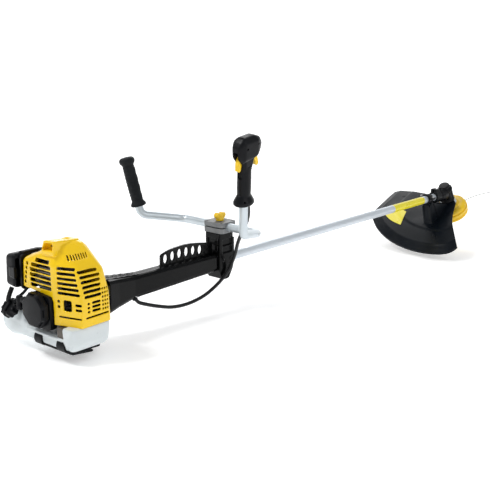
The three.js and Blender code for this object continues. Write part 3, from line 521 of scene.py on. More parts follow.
line_nylon = surface("line_nylon", (0.36, 0.38, 0.36), 0.25, grain=(900, 0.05), mottle=(40, 0.05))
liner_nylon = surface("liner_nylon", (0.70, 0.70, 0.66), 0.45)
soft_clear = surface("soft_clear", (0.45, 0.42, 0.34), 0.30, coat=0.3, grain=(400, 0.05))
switch_red = surface("switch_red", (0.45, 0.02, 0.015), 0.38, grain=(900, 0.15), wear=((0.8, 0.3, 0.25), 0.5))
label_yellow = surface("label_yellow", (0.86, 0.74, 0.02), 0.34, coat=0.05, grain=(300, 0.03),
                       mottle=(30, 0.06))

SLOT_FINISH = {
    "cover_yellow": shroud_yellow, "head_yellow": head_yellow, "black_plastic": black_plastic,
    "black_rubber": rubber, "bar_aluminium": bar_alloy, "cast_alloy": cast_alloy, "steel": steel,
    "tank_white": tank_plastic, "nylon_line": liner_nylon, "bulb_clear": soft_clear, "switch_red": switch_red,
}


def finish_cad_nodes():
    """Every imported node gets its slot's procedural finish, whether it shows or is replaced later."""
    slots = {part["node"]: part["material_slot"] for part in frame["record"]["subparts"]}
    for name, obj in frame["nodes"].items():
        obj.data.materials.clear()
        obj.data.materials.append(soot if name == "muffler" else SLOT_FINISH[slots[name]])


# ---------------------------------------------------------------- camera
def place_camera():
    """The camera stands behind the engine, to the operator's right, and looks along the boom."""
    spot = BOOM @ Vector((-1288, -1559, 616))
    yaw, pitch = math.radians(41.18), math.radians(14.16)
    ahead = Vector((math.cos(yaw) * math.cos(pitch), math.sin(yaw) * math.cos(pitch), -math.sin(pitch)))
    right = ahead.cross(Vector((0, 0, 1))).normalized()
    turn = BOOM.to_3x3().normalized() @ Matrix((right, right.cross(ahead), -ahead)).transposed()
    camera = bpy.data.objects.new("camera", bpy.data.cameras.new("camera"))
    camera.data.lens = 64.57
    camera.data.clip_end = 60
    camera.matrix_world = Matrix.Translation(spot) @ turn.to_4x4()
    bpy.context.scene.collection.objects.link(camera)
    bpy.context.scene.camera = camera


# ---------------------------------------------------------------- cords
CABLE_SOCKET_X = 17
in_handle = BOOM.inverted() @ HANDLE
CABLE_ROUTE = [in_handle @ Vector((CABLE_SOCKET_X, 0, 5)), in_handle @ Vector((CABLE_SOCKET_X, 0, -9)),
               (301, -180, 166), (316, -162, 140), (335, -130, 106), (363, -90, 64), (386, -60, 26),
               (394, -42, -2), (388, -34, -25), (354, -34, -49), (296, -34, -73), (235, -32, -82),
               (180, -30, -78), (140, -27, -67), (105, -21, -55), (83, -14, -45), (73, -12, -33)]
LINE_Z = -70
EYELET_ANGLE = -33
LINE_START = math.radians(EYELET_ANGLE)
LINE_CURL = 0.75
LINE_DROP = 1.4
LINE_FREE = 150
HEAD_R = 66


def throttle_cable():
    path = [BOOM @ p for p in through(CABLE_ROUTE, 6)]
    mesh = sweep(path, 0.0046, 16)
    cable = piece("throttle_cable", mesh, cable_black, None,
                  ("throttle_cable_upper", "throttle_cable_lower"), Matrix.Identity(4))
    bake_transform(cable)


def cutting_line(name, start):
    steps = 10
    points = [Vector(((HEAD_R + 0.35) * math.cos(start), (HEAD_R + 0.35) * math.sin(start), LINE_Z))]
    for i in range(steps):
        heading = start - LINE_CURL * (i + 0.5) / steps
        run = LINE_FREE / steps
        last = points[-1]
        drop = LINE_DROP * i / steps
        points.append(last + Vector((run * math.cos(heading), run * math.sin(heading), -drop)))
    path = [HEAD @ p for p in through(points, 3)]
    line = piece("nylon_" + name, sweep(path, 0.0013, 10), line_nylon, "line_head", (name,),
                 Matrix.Identity(4))


# ---------------------------------------------------------------- engine shroud
SHROUD_REAR, SHROUD_FRONT = -186, -77
RIB_X, SHROUD_RIGHT, SHROUD_LEFT, EDGE_Y, SHROUD_BASE = -164, -106, 73, -42, -27


def shroud_form(inset):
    """The shroud's outer form, or its hollow when drawn in: a hull of balls, wide over the dome."""
    rear, front, right, left = SHROUD_REAR, SHROUD_FRONT, SHROUD_RIGHT, SHROUD_LEFT

    def plan(front_x, right_y, z, radius, chamfer):
        flat = [(rear + radius, left - radius), (rear + radius, EDGE_Y + 3),
                (RIB_X + 4, right_y + radius - 3),
                (front_x - radius - chamfer, right_y + radius),
                (front_x - radius, right_y + radius + chamfer), (front_x - radius, left - radius)]
        return [ball((x, y, z), radius - inset) for x, y in flat]

    rings = [*plan(front, right, SHROUD_BASE - 30, 6, 2), *plan(front - 1, right, 40, 7, 4)]
    shoulder = [ball((x, y, z), 12 - inset) for x, y, z in (
        (rear + 12, left - 12, 98), (rear + 12, EDGE_Y + 4, 104), (RIB_X + 9, right + 15, 92),
        (front - 24, right + 16, 90), (front - 16, right + 26, 88), (front - 14, left - 12, 96))]
    dome = [ball((x, y, z), 24 - inset) for x, y, z in (
        (-152, -30, 128), (-126, -20, 135), (-112, -36, 126), (-104, -14, 126), (-126, 10, 112),
        (-112, 34, 98))]
    form = hull([p for part in [*rings, *shoulder, *dome] for p in part])
    flare = [(2, 170), (4, 145), (14, 134), (26, 125.5), (40, 120), (55, 117.5), (74, 116.5), (96, 116.5),
             (96, 170)]
    scoop = prism([(y, z - inset) for y, z in flare], SHROUD_REAR - 10, -96, "x")
    return softened(cut(form, scoop), 1.8, 5)


def wall_slot(a, b, z, height, rise=0.0, reach=13, corner=1.9):
    """A round-ended cutter that crosses the wall from a to b, both (x, y)."""
    length = math.hypot(b[0] - a[0], b[1] - a[1])
    corner = min(corner, height / 2 - 0.1)
    outline = rounded_outline(-length / 2, length / 2, -height / 2, height / 2, corner, 3)
    slot = prism(outline, -reach, reach, "y")
    heading = math.atan2(b[1] - a[1], b[0] - a[0])
    turn = Matrix.Rotation(heading, 4, "Z") @ Matrix.Rotation(-math.atan2(rise, length), 4, "Y")
    return moved(slot, Matrix.Translation(((a[0] + b[0]) / 2, (a[1] + b[1]) / 2, z)) @ turn)


def shroud_slots():
    run = -84 - RIB_X

    def bevel_at(t):
        return (SHROUD_REAR + t * (RIB_X - SHROUD_REAR), EDGE_Y + t * (SHROUD_RIGHT - EDGE_Y))

    def side_at(t):
        return (RIB_X + t * run, SHROUD_RIGHT)

    slots = []
    arch = (41, 42, 43, 42, 37, 24)
    for i, reach_left in enumerate(arch):
        right_end = -26 if i == 5 else -33
        slots.append(wall_slot((SHROUD_REAR, reach_left), (SHROUD_REAR, right_end), 52 + i * 11.7, 8.4, 1.5))
    for i in range(6):
        slots.append(wall_slot(bevel_at(0.13), bevel_at(0.98 - 0.04 * i), 48 + i * 11, 6.0, corner=2.4))
    for i in range(7):
        side_end = 0.72 - 0.06 * max(0, i - 4) ** 2
        slots.append(wall_slot(side_at(0.12 - 0.02 * i), side_at(side_end), 41 + i * 11.2, 6.0, -1.5,
                               corner=2.4))
    for i in range(5):
        y = 62 - i * 2.6
        slots.append(block(SHROUD_REAR - 6, SHROUD_REAR + 12, y - 3.8, y + 3.8, 50 + i * 11, 57.4 + i * 11))
    for i in range(3):
        slots.append(wall_slot(side_at(0.21), side_at(0.30), 7 + i * 9.2, 5.0, -0.5))
        slots.append(wall_slot(side_at(0.38), side_at(0.68), 7 + i * 9.2, 5.2, -1))
    for row in range(6):
        for column in range(3):
            start = 0.74 + 0.085 * column
            end = 0.80 + 0.085 * column
            slots.append(wall_slot(side_at(start), side_at(end), 5 + row * 9.2, 5.2))
    slots.append(wall_slot(bevel_at(0.35), bevel_at(0.66), 21, 25, corner=4))
    slots += [wall_slot(bevel_at(0.80), bevel_at(1.03), z, 5.6) for z in (14, 25)]
    slots += [wall_slot(bevel_at(0.11), bevel_at(0.21), z, 6.4) for z in (17, 29)]
    slots.append(wall_slot(bevel_at(0.14), bevel_at(1.02), -6, 3.6))
    slots.append(wall_slot(side_at(0.14), side_at(0.97), -6, 3.6))
    for i in range(8):
        x = -165 + i * 6.6
        ends = ((-110, 116, -3), (-58, 119, 3), (-110, 124, 0), (-58, 131, 6))
        slots.append(hull([(x + dx + lean, y, z) for y, z, lean in ends for dx in (-1.4, 1.4)]))
    return slots


def shroud():
    outer = shroud_form(0)
    duct = softened(hull([(SHROUD_REAR + 3, -44, 128), (SHROUD_REAR + 3, 4, 126), (SHROUD_REAR + 6, -44, 161),
                          (SHROUD_REAR + 6, -5, 158), (-122, -38, 128), (-122, 2, 128), (-104, -36, 154),
                          (-104, -4, 152)]), 1.6, 6)
    body = join(cut(outer, shroud_form(3.0)), duct)
    rear, front = SHROUD_REAR, SHROUD_FRONT
    openings = [
        block(-260, 20, -160, 120, -80, SHROUD_BASE),
        rod(46, front - 14, front + 30, 48),
        hull(at_x((rear - 8, rear + 22), (-38, -40), (-38, 24), (-33, 35), (10, 38.5), (50, 39.5), (66, 41),
                  (90, 41), (90, -40))),
        block(rear + 5, front - 20, SHROUD_LEFT - 10, SHROUD_LEFT + 8, SHROUD_BASE - 5, 60),
        hull(at_x((rear - 8, -166), (-39, 139), (-39, 156), (0, 136), (-9, 153))),
    ]
    mesh = cut(body, *openings, *shroud_slots())
    piece("engine_shroud", softened(mesh, 1.2, 3), shroud_yellow, "chassis",
          ("cylinder_cover",), sharp=60)
    baffle = join(block(-150, -146, -78, 60, 14, 106), block(-150, -96, 8, 12, 30, 124),
                  block(-148, -96, -40, 10, 102, 106))
    piece("air_baffle", bevelled(baffle, 0.8), black_plastic, "chassis")


# ---------------------------------------------------------------- starter and air filter
FACE_X = -214
STARTER_Y, STARTER_Z = 4, 2.5
ROPE_X, ROPE_Z = -195, 12


def starter():
    profile = [(0, FACE_X), (36, FACE_X), (41.5, FACE_X + 6), (42.5, -199), (40, -196), (36, -194),
               (36, -178), (0, -178)]
    cup = turned_by(lathe(profile, 8, "x"), 22.5, "X")
    plate = prism(rounded_outline(-35.5, 38, -42, 37, 10), -194, -177, "x")
    guide = rod(9, 36, 57, 24, "y")
    shell = join(shifted(cup, y=STARTER_Y, z=STARTER_Z), plate, shifted(guide, ROPE_X, 0, ROPE_Z))
    eye = shifted(rod(5, 44, 62, 20, "y"), ROPE_X, 0, ROPE_Z)
    vents = []
    for k in range(8):
        vent = prism(rounded_outline(-9, 9, -1.4, 1.4, 1.2, 3), FACE_X + 2, FACE_X + 12, "x")
        vents.append(shifted(turned_by(shifted(vent, 0, 0, 36.5), 45 * k, "X"), y=STARTER_Y, z=STARTER_Z))
    shell = cut(shell, eye, *vents)
    piece("recoil_housing", bevelled(shell, 1.8, 3), black_plastic, "chassis",
          ("starter_housing",))


def pull_handle():
    neck = hull([(ROPE_X + u * wide, y, ROPE_Z + v * high) for y, wide, high in ((57, 6, 7), (72, 4, 4))
                 for v in (-1, 1) for u in (-1, 1)])
    profile = [(0, -14), (6, -14), (8, -11), (8.4, -4), (7.2, 3), (8.4, 10), (8, 17), (6, 20), (0, 20)]
    grip = shifted(lathe(profile, 24), ROPE_X, 75, 0)
    rope = shifted(rod(2.2, 55, 62, 12, "y"), ROPE_X, 0, ROPE_Z)
    mesh = softened(join(grip, neck, rope), 0.8, 3)
    piece("pull_grip", mesh, black_plastic, "pull_handle", ("starter_handle",))


def filter_box():
    round_box = rounded_hull(at_x((-185, -112), (96, 42), (118, 44), (96, 103), (115, 100)), 10)
    body = softened(keep(round_box, block(-300, 0, 80.5, 200, -100, 200)), 1.5, 6)
    inside = block(-190, -105, 60, 115, 38, 102)
    shell = cut(body, inside)
    clip = hull([*at_x((-199,), (84, 56), (84, 84)), *at_x((-190,), (84, 58), (84, 82)),
                 *at_x((-196, -190), (108, 60), (108, 80))])
    knuckle = hull(at_x((-176, -130), (78, 106), (78, 118), (92, 117), (100, 108)))
    ribs = [block(-180 + i * 16, -176 + i * 16, 118, 128.6, 48, 94) for i in range(5)]
    mesh = softened(join(shell, clip, knuckle, *ribs), 1.3, 3)
    piece("filter_lid", mesh, black_plastic, "chassis", ("air_filter_cover",), sharp=60)
    arm = sweep(through([(-196, 100, 34), (-201, 102, 22), (-203, 106, 10), (-202, 110, 3)], 5), 5.5, 14)
    hose = sweep(through([(-178, 62, 40), (-186, 70, 26), (-192, 88, 10), (-196, 96, -2)], 5), 3.4, 14)
    piece("filter_intake_tube", arm, black_plastic, "chassis")
    piece("fuel_hose", hose, rubber, "chassis")


# ---------------------------------------------------------------- fuel
CAP_TILT = -50
CAP_SPOT = (-198, 110, -16)


def at_filler(mesh):
    return shifted(turned_by(mesh, CAP_TILT, "Y"), *CAP_SPOT)


def fuel_tank():
    r0 = 19                         # the round of the tank's edges
    rear, front = -194 + r0, -80 - r0
    right = hull([q for x in (rear, front) for y in (-104 + r0, -69 - r0) for q in ball((x, y, -81 + r0), r0)]
                 + [q for x in (-186, -88) for y in (-99, -75) for q in ball((x, y, -32), 6)])
    left = rounded_hull([(x, y, z) for x in (rear, front) for y, z in ((163 - r0, -36 - r0), (66, -36 - r0),
                                                                      (160 - r0, -62), (124, -88 + r0),
                                                                      (66, -80 + r0))], r0)
    bridge = rounded_hull([(x, y, z) for x in (-182, -92) for y in (-80, 70) for z in (-58, -72)], 8)
    shoulder = rounded_hull([(x, y, z) for x, z in ((-184, -46), (-176, -30)) for y in (76, 136)], 9)
    rib = rounded_hull([(x, y, -55) for x in (-191, -186) for y in (-66, 64)], 2.4)
    form = softened(join(right, left, bridge, shoulder, rib), 1.7, 5)
    neck = at_filler(rod(17, -44, -11.4, 40, "z"))
    fan_room = rod(60, -92, -70, 48)
    belly = block(-176, -70, -50, 44, -56, 60)
    mesh = softened(cut(join(form, neck), fan_room, belly), 1.6, 2)
    piece("tank_shell", mesh, tank_plastic, "chassis", ("fuel_tank",), sharp=60)
    strap = prism([(-78, -30), (-78, -60), (-70, -66), (-50, -66), (-50, -30)], -188.5, -185.5, "x")
    lip = block(-188.5, -172, -78, -50, -32, -29)
    piece("tank_bracket", bevelled(join(strap, lip), 0.6), bracket_grey, "chassis")


def fuel_cap():
    def lobes(r, h, a):
        return r + (1.5 * max(-0.6, math.cos(10 * a)) if r > 15 else 0)

    profile = [(0, -11), (20, -11), (21.6, -9.5), (21.8, 4), (20.6, 7.4), (17.5, 9), (14.5, 9.6), (13, 7.6),
               (0, 7.6)]
    cap = lathe(profile, 120, "z", lobes)
    bar = prism(rounded_outline(-14, 14, -3.4, 3.4, 2.5), 5, 11.6)
    piece("filler_cap", at_filler(bevelled(join(cap, bar), 0.7)), black_plastic, "cap",
          ("fuel_cap",))


def stand():
    """Two curved rear feet, a strip under the right of the tank, and a tray that stands on the ground."""
    def foot(y, width, low):
        side = curve_through([(-190, -58), (-194, -68), (-192, low + 6), (-184, low), (-172, low)], 4)
        inner = [(-172, low + 8), (-180, low + 10), (-185, -68), (-185, -58)]
        return prism([*side, *inner], y, y + width, "y")

    low_edge = ((-188, -79), (-176, -86), (-124, -92))
    strip = rounded_hull([(x, y, z) for x, z in low_edge for y in (-86, -66)], 3.4)
    crossbar = rounded_hull([(x, y, -81) for x in (-184, -176) for y in (-70, 28)], 4)
    tray = hull([*at_x((-172,), (-66, -78), (36, -78), (-60, -88), (30, -88)),
                 *at_x((-112, -74), (-52, -108), (26, -108)), *at_x((-72,), (-60, -82), (36, -82))])
    window = block(-160, -92, -38, 12, -130, -60)
    solid = join(tray, foot(-80, 30, -84), foot(2, 29, -86), strip, crossbar)
    ground = block(-400, 200, -200, 200, -100, 0)
    to_boom = BOOM.inverted() @ Matrix.Scale(0.001, 4)
    solid = cut(solid, window, moved(ground, to_boom))
    piece("stand_frame", softened(solid, 1.3, 3), black_plastic, "chassis", ("tank_stand",),
          sharp=60)


# ---------------------------------------------------------------- boom
COVER_X0, COVER_X1 = -19, 361
HOLES, HOLE_PITCH = 6, 24.8
CABLE_HOLE = (73, -12, 0)


def cover_section(x, base, top, half, inset):
    w = half - inset
    low, high = base + inset, top - inset
    return mirrored([(x, w - 4, low), (x, w, low + 8), (x, w, high - 9), (x, w - 3, high - 3),
                     (x, w - 10, high)])


def cover_form(inset):
    stations = [(COVER_X0, -46, 35, 32), (14, -40.5, 31.5, 26), (70, -31.5, 25.5, 20.5),
                (COVER_X1, -25, 23, 20)]
    rings = [cover_section(*s, inset) for s in stations]
    return join(*[hull([*a, *b]) for a, b in zip(rings, rings[1:])])


def crest():
    top = curve_through([(172, 49), (178, 55), (210, 62.5), (262, 65), (310, 60), (COVER_X1 - 2, 51)], 6)
    fin = prism([(172, 18), *top, (COVER_X1 - 2, 18)], -3, 3, "y")
    inner = [(x, z - 3.2) for x, z in top[::-1]]
    outline = [(172, 18), (172, 49), *top, (COVER_X1 - 2, 46), *inner, (176, 45), (176, 18)]
    frame_rib = prism(outline, -4.4, 4.4, "y")
    holes = []
    for i in range(HOLES):
        hole = rod(1, -12, 12, 28, "y")
        hole.transform(Matrix.Diagonal((7.2, 1, 12, 1)))
        lift = 6 * math.sin(math.pi * (i + 0.5) / HOLES)
        holes.append(shifted(hole, 188 + i * HOLE_PITCH, 0, 39.5 + lift))
    feet = []
    for i in range(HOLES + 1):
        x = 176 + i * HOLE_PITCH
        feet.append(hull(mirrored(at_x((x - 1.2, x + 1.2), (13, 21), (2, 34)))))
    return cut(join(fin, frame_rib, *feet), *holes)


def boom_sleeve():
    shell = cut(cover_form(0), cover_form(2.6))
    crown = cut(crest(), cover_form(1.0))
    ridges = [hull([*at_x((COVER_X0,), (y - 3.4, 30), (y + 3.4, 30), (y, 37.5)),
                    *at_x((95,), (y * 0.6 - 2, 21), (y * 0.6, 25.5), (y * 0.6 + 2, 21))])
              for y in (-18, 0, 18)]
    seam = [block(20, 350, s * 20.4 - 0.5, s * 20.4 + 0.5, -1.2, 0.2) for s in (-1, 1)]
    tools = [*seam, shifted(rod(6.2, -46, -20, 20, "z"), *CABLE_HOLE),
             block(COVER_X1 - 20, COVER_X1 + 5, -17, 17, -21, 14), rod(25, COVER_X0 - 6, COVER_X0 + 8, 40)]
    body = cut(join(shell, crown, *ridges), *tools)
    grommet = shifted(lathe([(4.8, -38), (6, -38), (7, -32), (4.8, -32), (4.8, -38)], 24, "z"),
                      *CABLE_HOLE)
    piece("boom_sleeve", softened(body, 1.35, 6), gloss_black, "chassis", ("boom_cover",),
          sharp=60)
    piece("cable_grommet", grommet, rubber, "chassis")


def boom():
    piece("main_tube", tube(BOOM_R, 11.4, -39, 1582, 72), tube_alloy, "chassis",
          ("boom_tube",))
    band = tube(BOOM_R + 0.16, BOOM_R - 0.2, 1259, 1456, 72)
    piece("tube_label", band, label_yellow, "chassis")


COLUMN_X0, COLUMN_X1, COLUMN_Y = 363, 421, 26


def clamp_column():
    side = [(COLUMN_X0, 77), (COLUMN_X0, -24), (COLUMN_X0 + 9, -48), (COLUMN_X0 + 16, -51),
            (COLUMN_X0 + 32, -51), (COLUMN_X0 + 38, -48), (COLUMN_X1 - 6, -25), (COLUMN_X1, -6),
            (COLUMN_X1, 77)]
    solid = prism(side, -COLUMN_Y, COLUMN_Y, "y")
    pockets = []
    for s in (-1, 1):
        y0, y1 = sorted((s * 21, s * 34))
        pockets += [block(COLUMN_X0 + 12, COLUMN_X1 - 10, y0, y1, z, z + 16) for z in (22, 42)]
        wedge = ((COLUMN_X1 - 14, 60), (COLUMN_X1 + 6, 60), (COLUMN_X1 + 6, 72), (COLUMN_X1 - 10, 72))
        pockets.append(hull([(x, y, z) for y in (y0, y1) for x, z in wedge]))
    rear_step = [block(COLUMN_X0 - 4, COLUMN_X0 + 3, -17, 17, z, z + 15) for z in (28, 48)]
    bolts = [shifted(rod(4.6, s * 20, s * 27.5, 18, "y"), x, 0, z) for s in (-1, 1)
             for x, z in ((COLUMN_X0 + 12, 4), (COLUMN_X1 - 14, 4), (COLUMN_X0 + 24, -36))]
    collar = tube(19, BOOM_R + 0.4, COLUMN_X1 - 4, COLUMN_X1 + 12, 40)
    solid = cut(join(cut(solid, *pockets, *rear_step), *bolts, collar), rod(BOOM_R + 0.3, 300, 460, 40),
                shifted(rod(4.4, 50, 80, 16, "z"), CLAMP_X, 0, 0))
    piece("clamp_pillar", softened(solid, 1.25, 3), gloss_black, "chassis",
          ("clamp_column",), sharp=60)


PLATE_X, PLATE_Y = 30, 34


def clamp_plate(name, z0, z1, top, node_name):
    corner = 6
    a, b = PLATE_X, PLATE_Y
    outline = [(a - corner, b), (-a + corner, b), (-a, b - corner), (-a, -b + corner), (-a + corner, -b),
               (a - corner, -b), (a, -b + corner), (a, b - corner)]
    outline = [(x + CLAMP_X, y) for x, y in outline]
    slab = prism(outline, z0, z1)
    groove = shifted(rod(BAR_R + 0.3, -60, 60, 48, "y"), CLAMP_X, 0, BAR_Z)
    solid = cut(slab, groove)
    face = z1 if top else z0
    depth = -1 if top else 1
    recess = prism(rounded_outline(CLAMP_X - 17, CLAMP_X + 17, -14, 14, 6), *sorted((face + 2, face + depth)))
    bolts = []
    wells = []
    for sx in (-1, 1):
        for sy in (-1, 1):
            spot = (CLAMP_X + sx * 21, sy * 25, 0)
            wells.append(shifted(rod(4.6, face - 2.5, face + 3, 20, "z"), *spot))
            bolts.append(cut(shifted(rod(3.9, face - 3, face - 0.5, 20, "z"), *spot),
                             shifted(rod(1.9, face - 2, face + 2, 6, "z"), *spot)))
    if top:
        solid = cut(solid, recess, *wells)
        piece("clamp_screws", joined(*[bevelled(b, 0.3) for b in bolts]), dark_steel, "chassis")
    piece(name, softened(solid, 0.8, 3), cast_alloy, "chassis", (node_name,), sharp=60)


KNOB_Z = BAR_Z + BAR_R + 3.35


def knob():
    profile = [(0, KNOB_Z), (11, KNOB_Z), (11, KNOB_Z + 4), (8.5, KNOB_Z + 11), (0, KNOB_Z + 12)]
    hub = shifted(lathe(profile, 40), CLAMP_X, 0, 0)
    wing = curve_through([(-9, KNOB_Z + 3), (-15, KNOB_Z + 9), (-17, KNOB_Z + 15), (-13, KNOB_Z + 20.6),
                          (-5, KNOB_Z + 21), (0, KNOB_Z + 18.5), (5, KNOB_Z + 21), (13, KNOB_Z + 20.6),
                          (17, KNOB_Z + 15), (15, KNOB_Z + 9), (9, KNOB_Z + 3)], 5)
    blade = shifted(prism(wing, -6, 6, "y"), CLAMP_X, 0, 0)
    dimples = [shifted(rod(3.6, s * 5, s * 9, 20, "y"), CLAMP_X + x, 0, KNOB_Z + 13) for s in (-1, 1)
               for x in (-8, 8)]
    mesh = softened(cut(join(hub, blade), *dimples), 0.6, 4)
    piece("bar_knob", mesh, head_yellow, "knob", ("clamp_knob",), sharp=60)


# ---------------------------------------------------------------- handlebar and grips
BEND = Vector((CLAMP_X, 136, BAR_Z))
BAR_LEFT_END, BAR_RIGHT_END = 150, 167
BAR_WALL = 1.6


def handlebar():
    def mirror(p):
        return Vector((p.x, -p.y, p.z))

    corners = [grip_point(BAR_LEFT_END, 1), GRIP_FOOT, BEND, mirror(BEND), mirror(GRIP_FOOT),
               grip_point(BAR_RIGHT_END, -1)]
    path = filleted(corners, [24, 34, 34, 24], 10)
    outer = sweep(path, BAR_R, 40)
    first, second = path[0], path[1]
    last, before = path[-1], path[-2]
    ends = [sweep([a + (a - b).normalized() * 4, a - (a - b).normalized() * 30], BAR_R - BAR_WALL, 40)
            for a, b in ((first, second), (last, before))]
    piece("bar_tube", cut(outer, *ends), bar_alloy, "handlebar_set", ("handlebar",))


def left_grip():
    r0 = BAR_R + 0.35
    profile = [(r0, -3), (18, -3), (20.4, -1.5), (21, 1), (20, 4), (17.4, 7.5), (15.6, 12)]
    profile += [(15.5 + 0.9 * math.sin(math.pi * (z - 15) / 97), z) for z in range(14, 110)]
    profile += [(16, 111), (18, 114), (20, 117), (21, 121), (20.6, 125), (19, 128.5), (15, 130.6), (8, 131.6),
                (0, 132), (0, 124), (r0, 124), (r0, -3)]

    def pattern(r, z, a):
        if not 16 < z < 110:
            return r
        rib = 0.55 * max(0.0, math.cos(2 * math.pi * z / 9.5)) ** 2 * max(0.0, -math.cos(a)) ** 0.5
        finger = 0.8 * math.sin(2 * math.pi * (z - 17) / 24.5) * max(0.0, math.cos(a)) ** 2
        return r + rib + finger

    mesh = lathe(profile[:-1] + [profile[0]], 72, "z", pattern)
    piece("grip_rubber", mesh, rubber, "handlebar_set", ("left_grip",), LEFT_GRIP, 45)


def handle_form():
    head_edge = ((-25, 10, 162), (-14, 10, 171), (22, 10, 171), (40, 11, 164), (49, 11, 148), (46, 10, 130),
                 (30, 10, 116), (-33, 11, 150), (-32, 10, 124), (-19, 10, 107))
    crown = [(x, w, z) for x, z in ((-18, 120), (-18, 160), (26, 122), (28, 160)) for w in (18, 20)]
    head = hull(mirrored([*head_edge, *crown]))
    neck = hull(mirrored([(-19, 10, 112), (23, 10, 121), (-15.5, 10, 88), (14.5, 10, 88), (-9, 14, 88),
                          (9, 14, 88), (-13, 17, 126), (17, 17, 126)]))
    around = [2 * math.pi * k / 24 for k in range(24)]

    def oval_hull(wide, narrow, rings):
        return hull([(r * math.cos(a) * wide, r * math.sin(a) * narrow, z) for z, r in rings for a in around])

    palm = oval_hull(1.06, 0.98, ((16, 16), (40, 16.8), (70, 16.8), (98, 16.4)))
    foot = oval_hull(1.2, 0.92, ((-1, 21), (3, 24.5), (9, 24), (25, 16)))
    nub = hull(mirrored([(14, 4, 78), (14, 4, 92), (21, 2.6, 84)]))
    return softened(join(softened(head, 1.6, 24), neck, palm, foot, nub), 1.0, 8)


HANDLE_SCREWS = ((-12, 146, -12.5), (28, 150, -10), (0, 100, -12.6), (-15, 12, -10))   # x, z and the well's end in y
STOP_X, STOP_Z = 22, 151


def throttle_handle():
    solid = handle_form()
    tools = [rod(BAR_R + 0.35, -5, 90, 40, "z"), block(13, 50, -6.5, 6.5, 92, 143),
             block(-40, -12.6, -6.5, 6.5, 68, 95), block(-40, -7, -6.5, 6.5, 94, 138),
             shifted(rod(5.4, -5, 9, 24, "z"), CABLE_SOCKET_X, 0, 0)]
    screws = [shifted(rod(3.1, -30, y, 20, "y"), x, 0, z) for x, z, y in HANDLE_SCREWS]
    solid = cut(solid, *tools)
    gap = 0.2
    outer = cut(solid, block(-60, 60, -gap, 60, -20, 190), *screws)
    inner = cut(solid, block(-60, 60, -60, gap, -20, 190),
                shifted(rod(6.6, 2, 30, 28, "y"), STOP_X, 0, STOP_Z))
    piece("handle_shell_outer", bevelled(outer, 0.35, 2, 50), black_plastic, "handlebar_set",
          ("throttle_handle_outer",), HANDLE, 50)
    piece("handle_shell_inner", bevelled(inner, 0.35, 2, 50), black_plastic, "handlebar_set",
          ("throttle_handle_inner",), HANDLE, 50)
    heads = []
    for x, z, y in HANDLE_SCREWS:
        screw = cut(rod(2.7, y - 0.2, y - 1.6, 20, "y"), rod(1.3, y - 1, y - 3, 6, "y"))
        heads.append(shifted(screw, x, 0, z))
    piece("handle_screws", joined(*heads), dark_steel, "handlebar_set", (), HANDLE)


def lever(points, pin, steps=4):
    outline = curve_through([*points, points[0]], steps)[:-1]
    x, z = pin
    return join(prism(outline, -5.8, 5.8, "y"), shifted(rod(2, -7, 7, 20, "y"), x, 0, z))


def controls():
    trigger = lever([(22, 137), (30, 137), (34, 126), (39, 114), (44, 97), (42.5, 91.5), (36, 91), (28, 110),
                     (21, 124)], (26, 132))
    piece("trigger_lever", softened(trigger, 0.55, 4), head_yellow, "trigger",
          ("throttle_trigger",), HANDLE, 60)
    lock = lever([(-20, 124), (-14, 123), (-15.5, 108), (-18.5, 98), (-20.5, 91), (-26.5, 90), (-27.5, 100),
                  (-26.5, 114)], (-17, 120))
    piece("lock_lever", softened(lock, 0.55, 4), head_yellow, "lock", ("trigger_lock",),
          HANDLE, 60)
    button = lathe([(0, 4), (6, 4), (6, 19.4), (5.2, 20.6), (0, 20.9)], 40, "y")
    grooves = [block(-8, 8, 20, 22, z - 0.5, z + 0.5) for z in (-3, 0, 3)]
    mesh = shifted(cut(button, *grooves), STOP_X, 0, STOP_Z)
    piece("stop_button", mesh, switch_red, "switch",
          ("stop_switch",), HANDLE)


# ---------------------------------------------------------------- gear case and guard
INTO_HEAD = HEAD.inverted() @ BOOM      # boom frame to head frame


def boomwise(mesh):
    """A shape drawn round the boom axis with x = 0 at the crossing, brought into the head's frame."""
    return moved(mesh, INTO_HEAD @ Matrix.Translation((GEAR_X, 0, 0)))


def gear_case():
    neck_profile = [(0, -96), (18.5, -96), (20.5, -94), (20.5, -62), (22.5, -58), (24, -40), (23, -20),
                    (0, 0)]
    neck = boomwise(lathe(neck_profile, 48, "x"))
    ears = boomwise(join(block(-94, -70, -12, -2.2, 10, 30), block(-94, -70, 2.2, 12, 10, 30)))
    bolt = boomwise(shifted(rod(4.2, -14, 14, 6, "y"), -82, 0, 23))
    barrel = lathe([(0, -30), (24, -30), (27, -26), (27, -20), (25.5, -18), (25.5, 16), (27, 18), (27, 23),
                    (24, 27), (19.5, 29), (19.5, 38), (17.5, 40.5), (0, 41)], 56)
    fins = [block(-28.4, 28.4, -1.1, 1.1, -19, 17), block(-1.1, 1.1, -28.4, 28.4, -19, 17)]
    cap_bolts = [shifted(rod(3.2, 20, 29.5, 6, "z"), 22.6 * math.cos(a), 22.6 * math.sin(a), 0)
                 for a in (0.6, 2.5, 3.8, 5.6)]
    plug = boomwise(shifted(rod(6, -4, 31, 6, "z"), -50, 0, 0))
    solid = join(neck, ears, barrel, *fins, *cap_bolts, plug)
    slit = boomwise(block(-120, -62, -1.2, 1.2, 5, 40))
    bore = boomwise(rod(BOOM_R + 0.3, -120, -46, 40))
    solid = cut(solid, slit, bore, rod(20, -34, -24, 32, "z"))
    mesh = softened(join(solid, bolt), 0.9, 3)
    piece("gear_housing", mesh, black_plastic, "chassis", ("gearcase",), HEAD, 60)


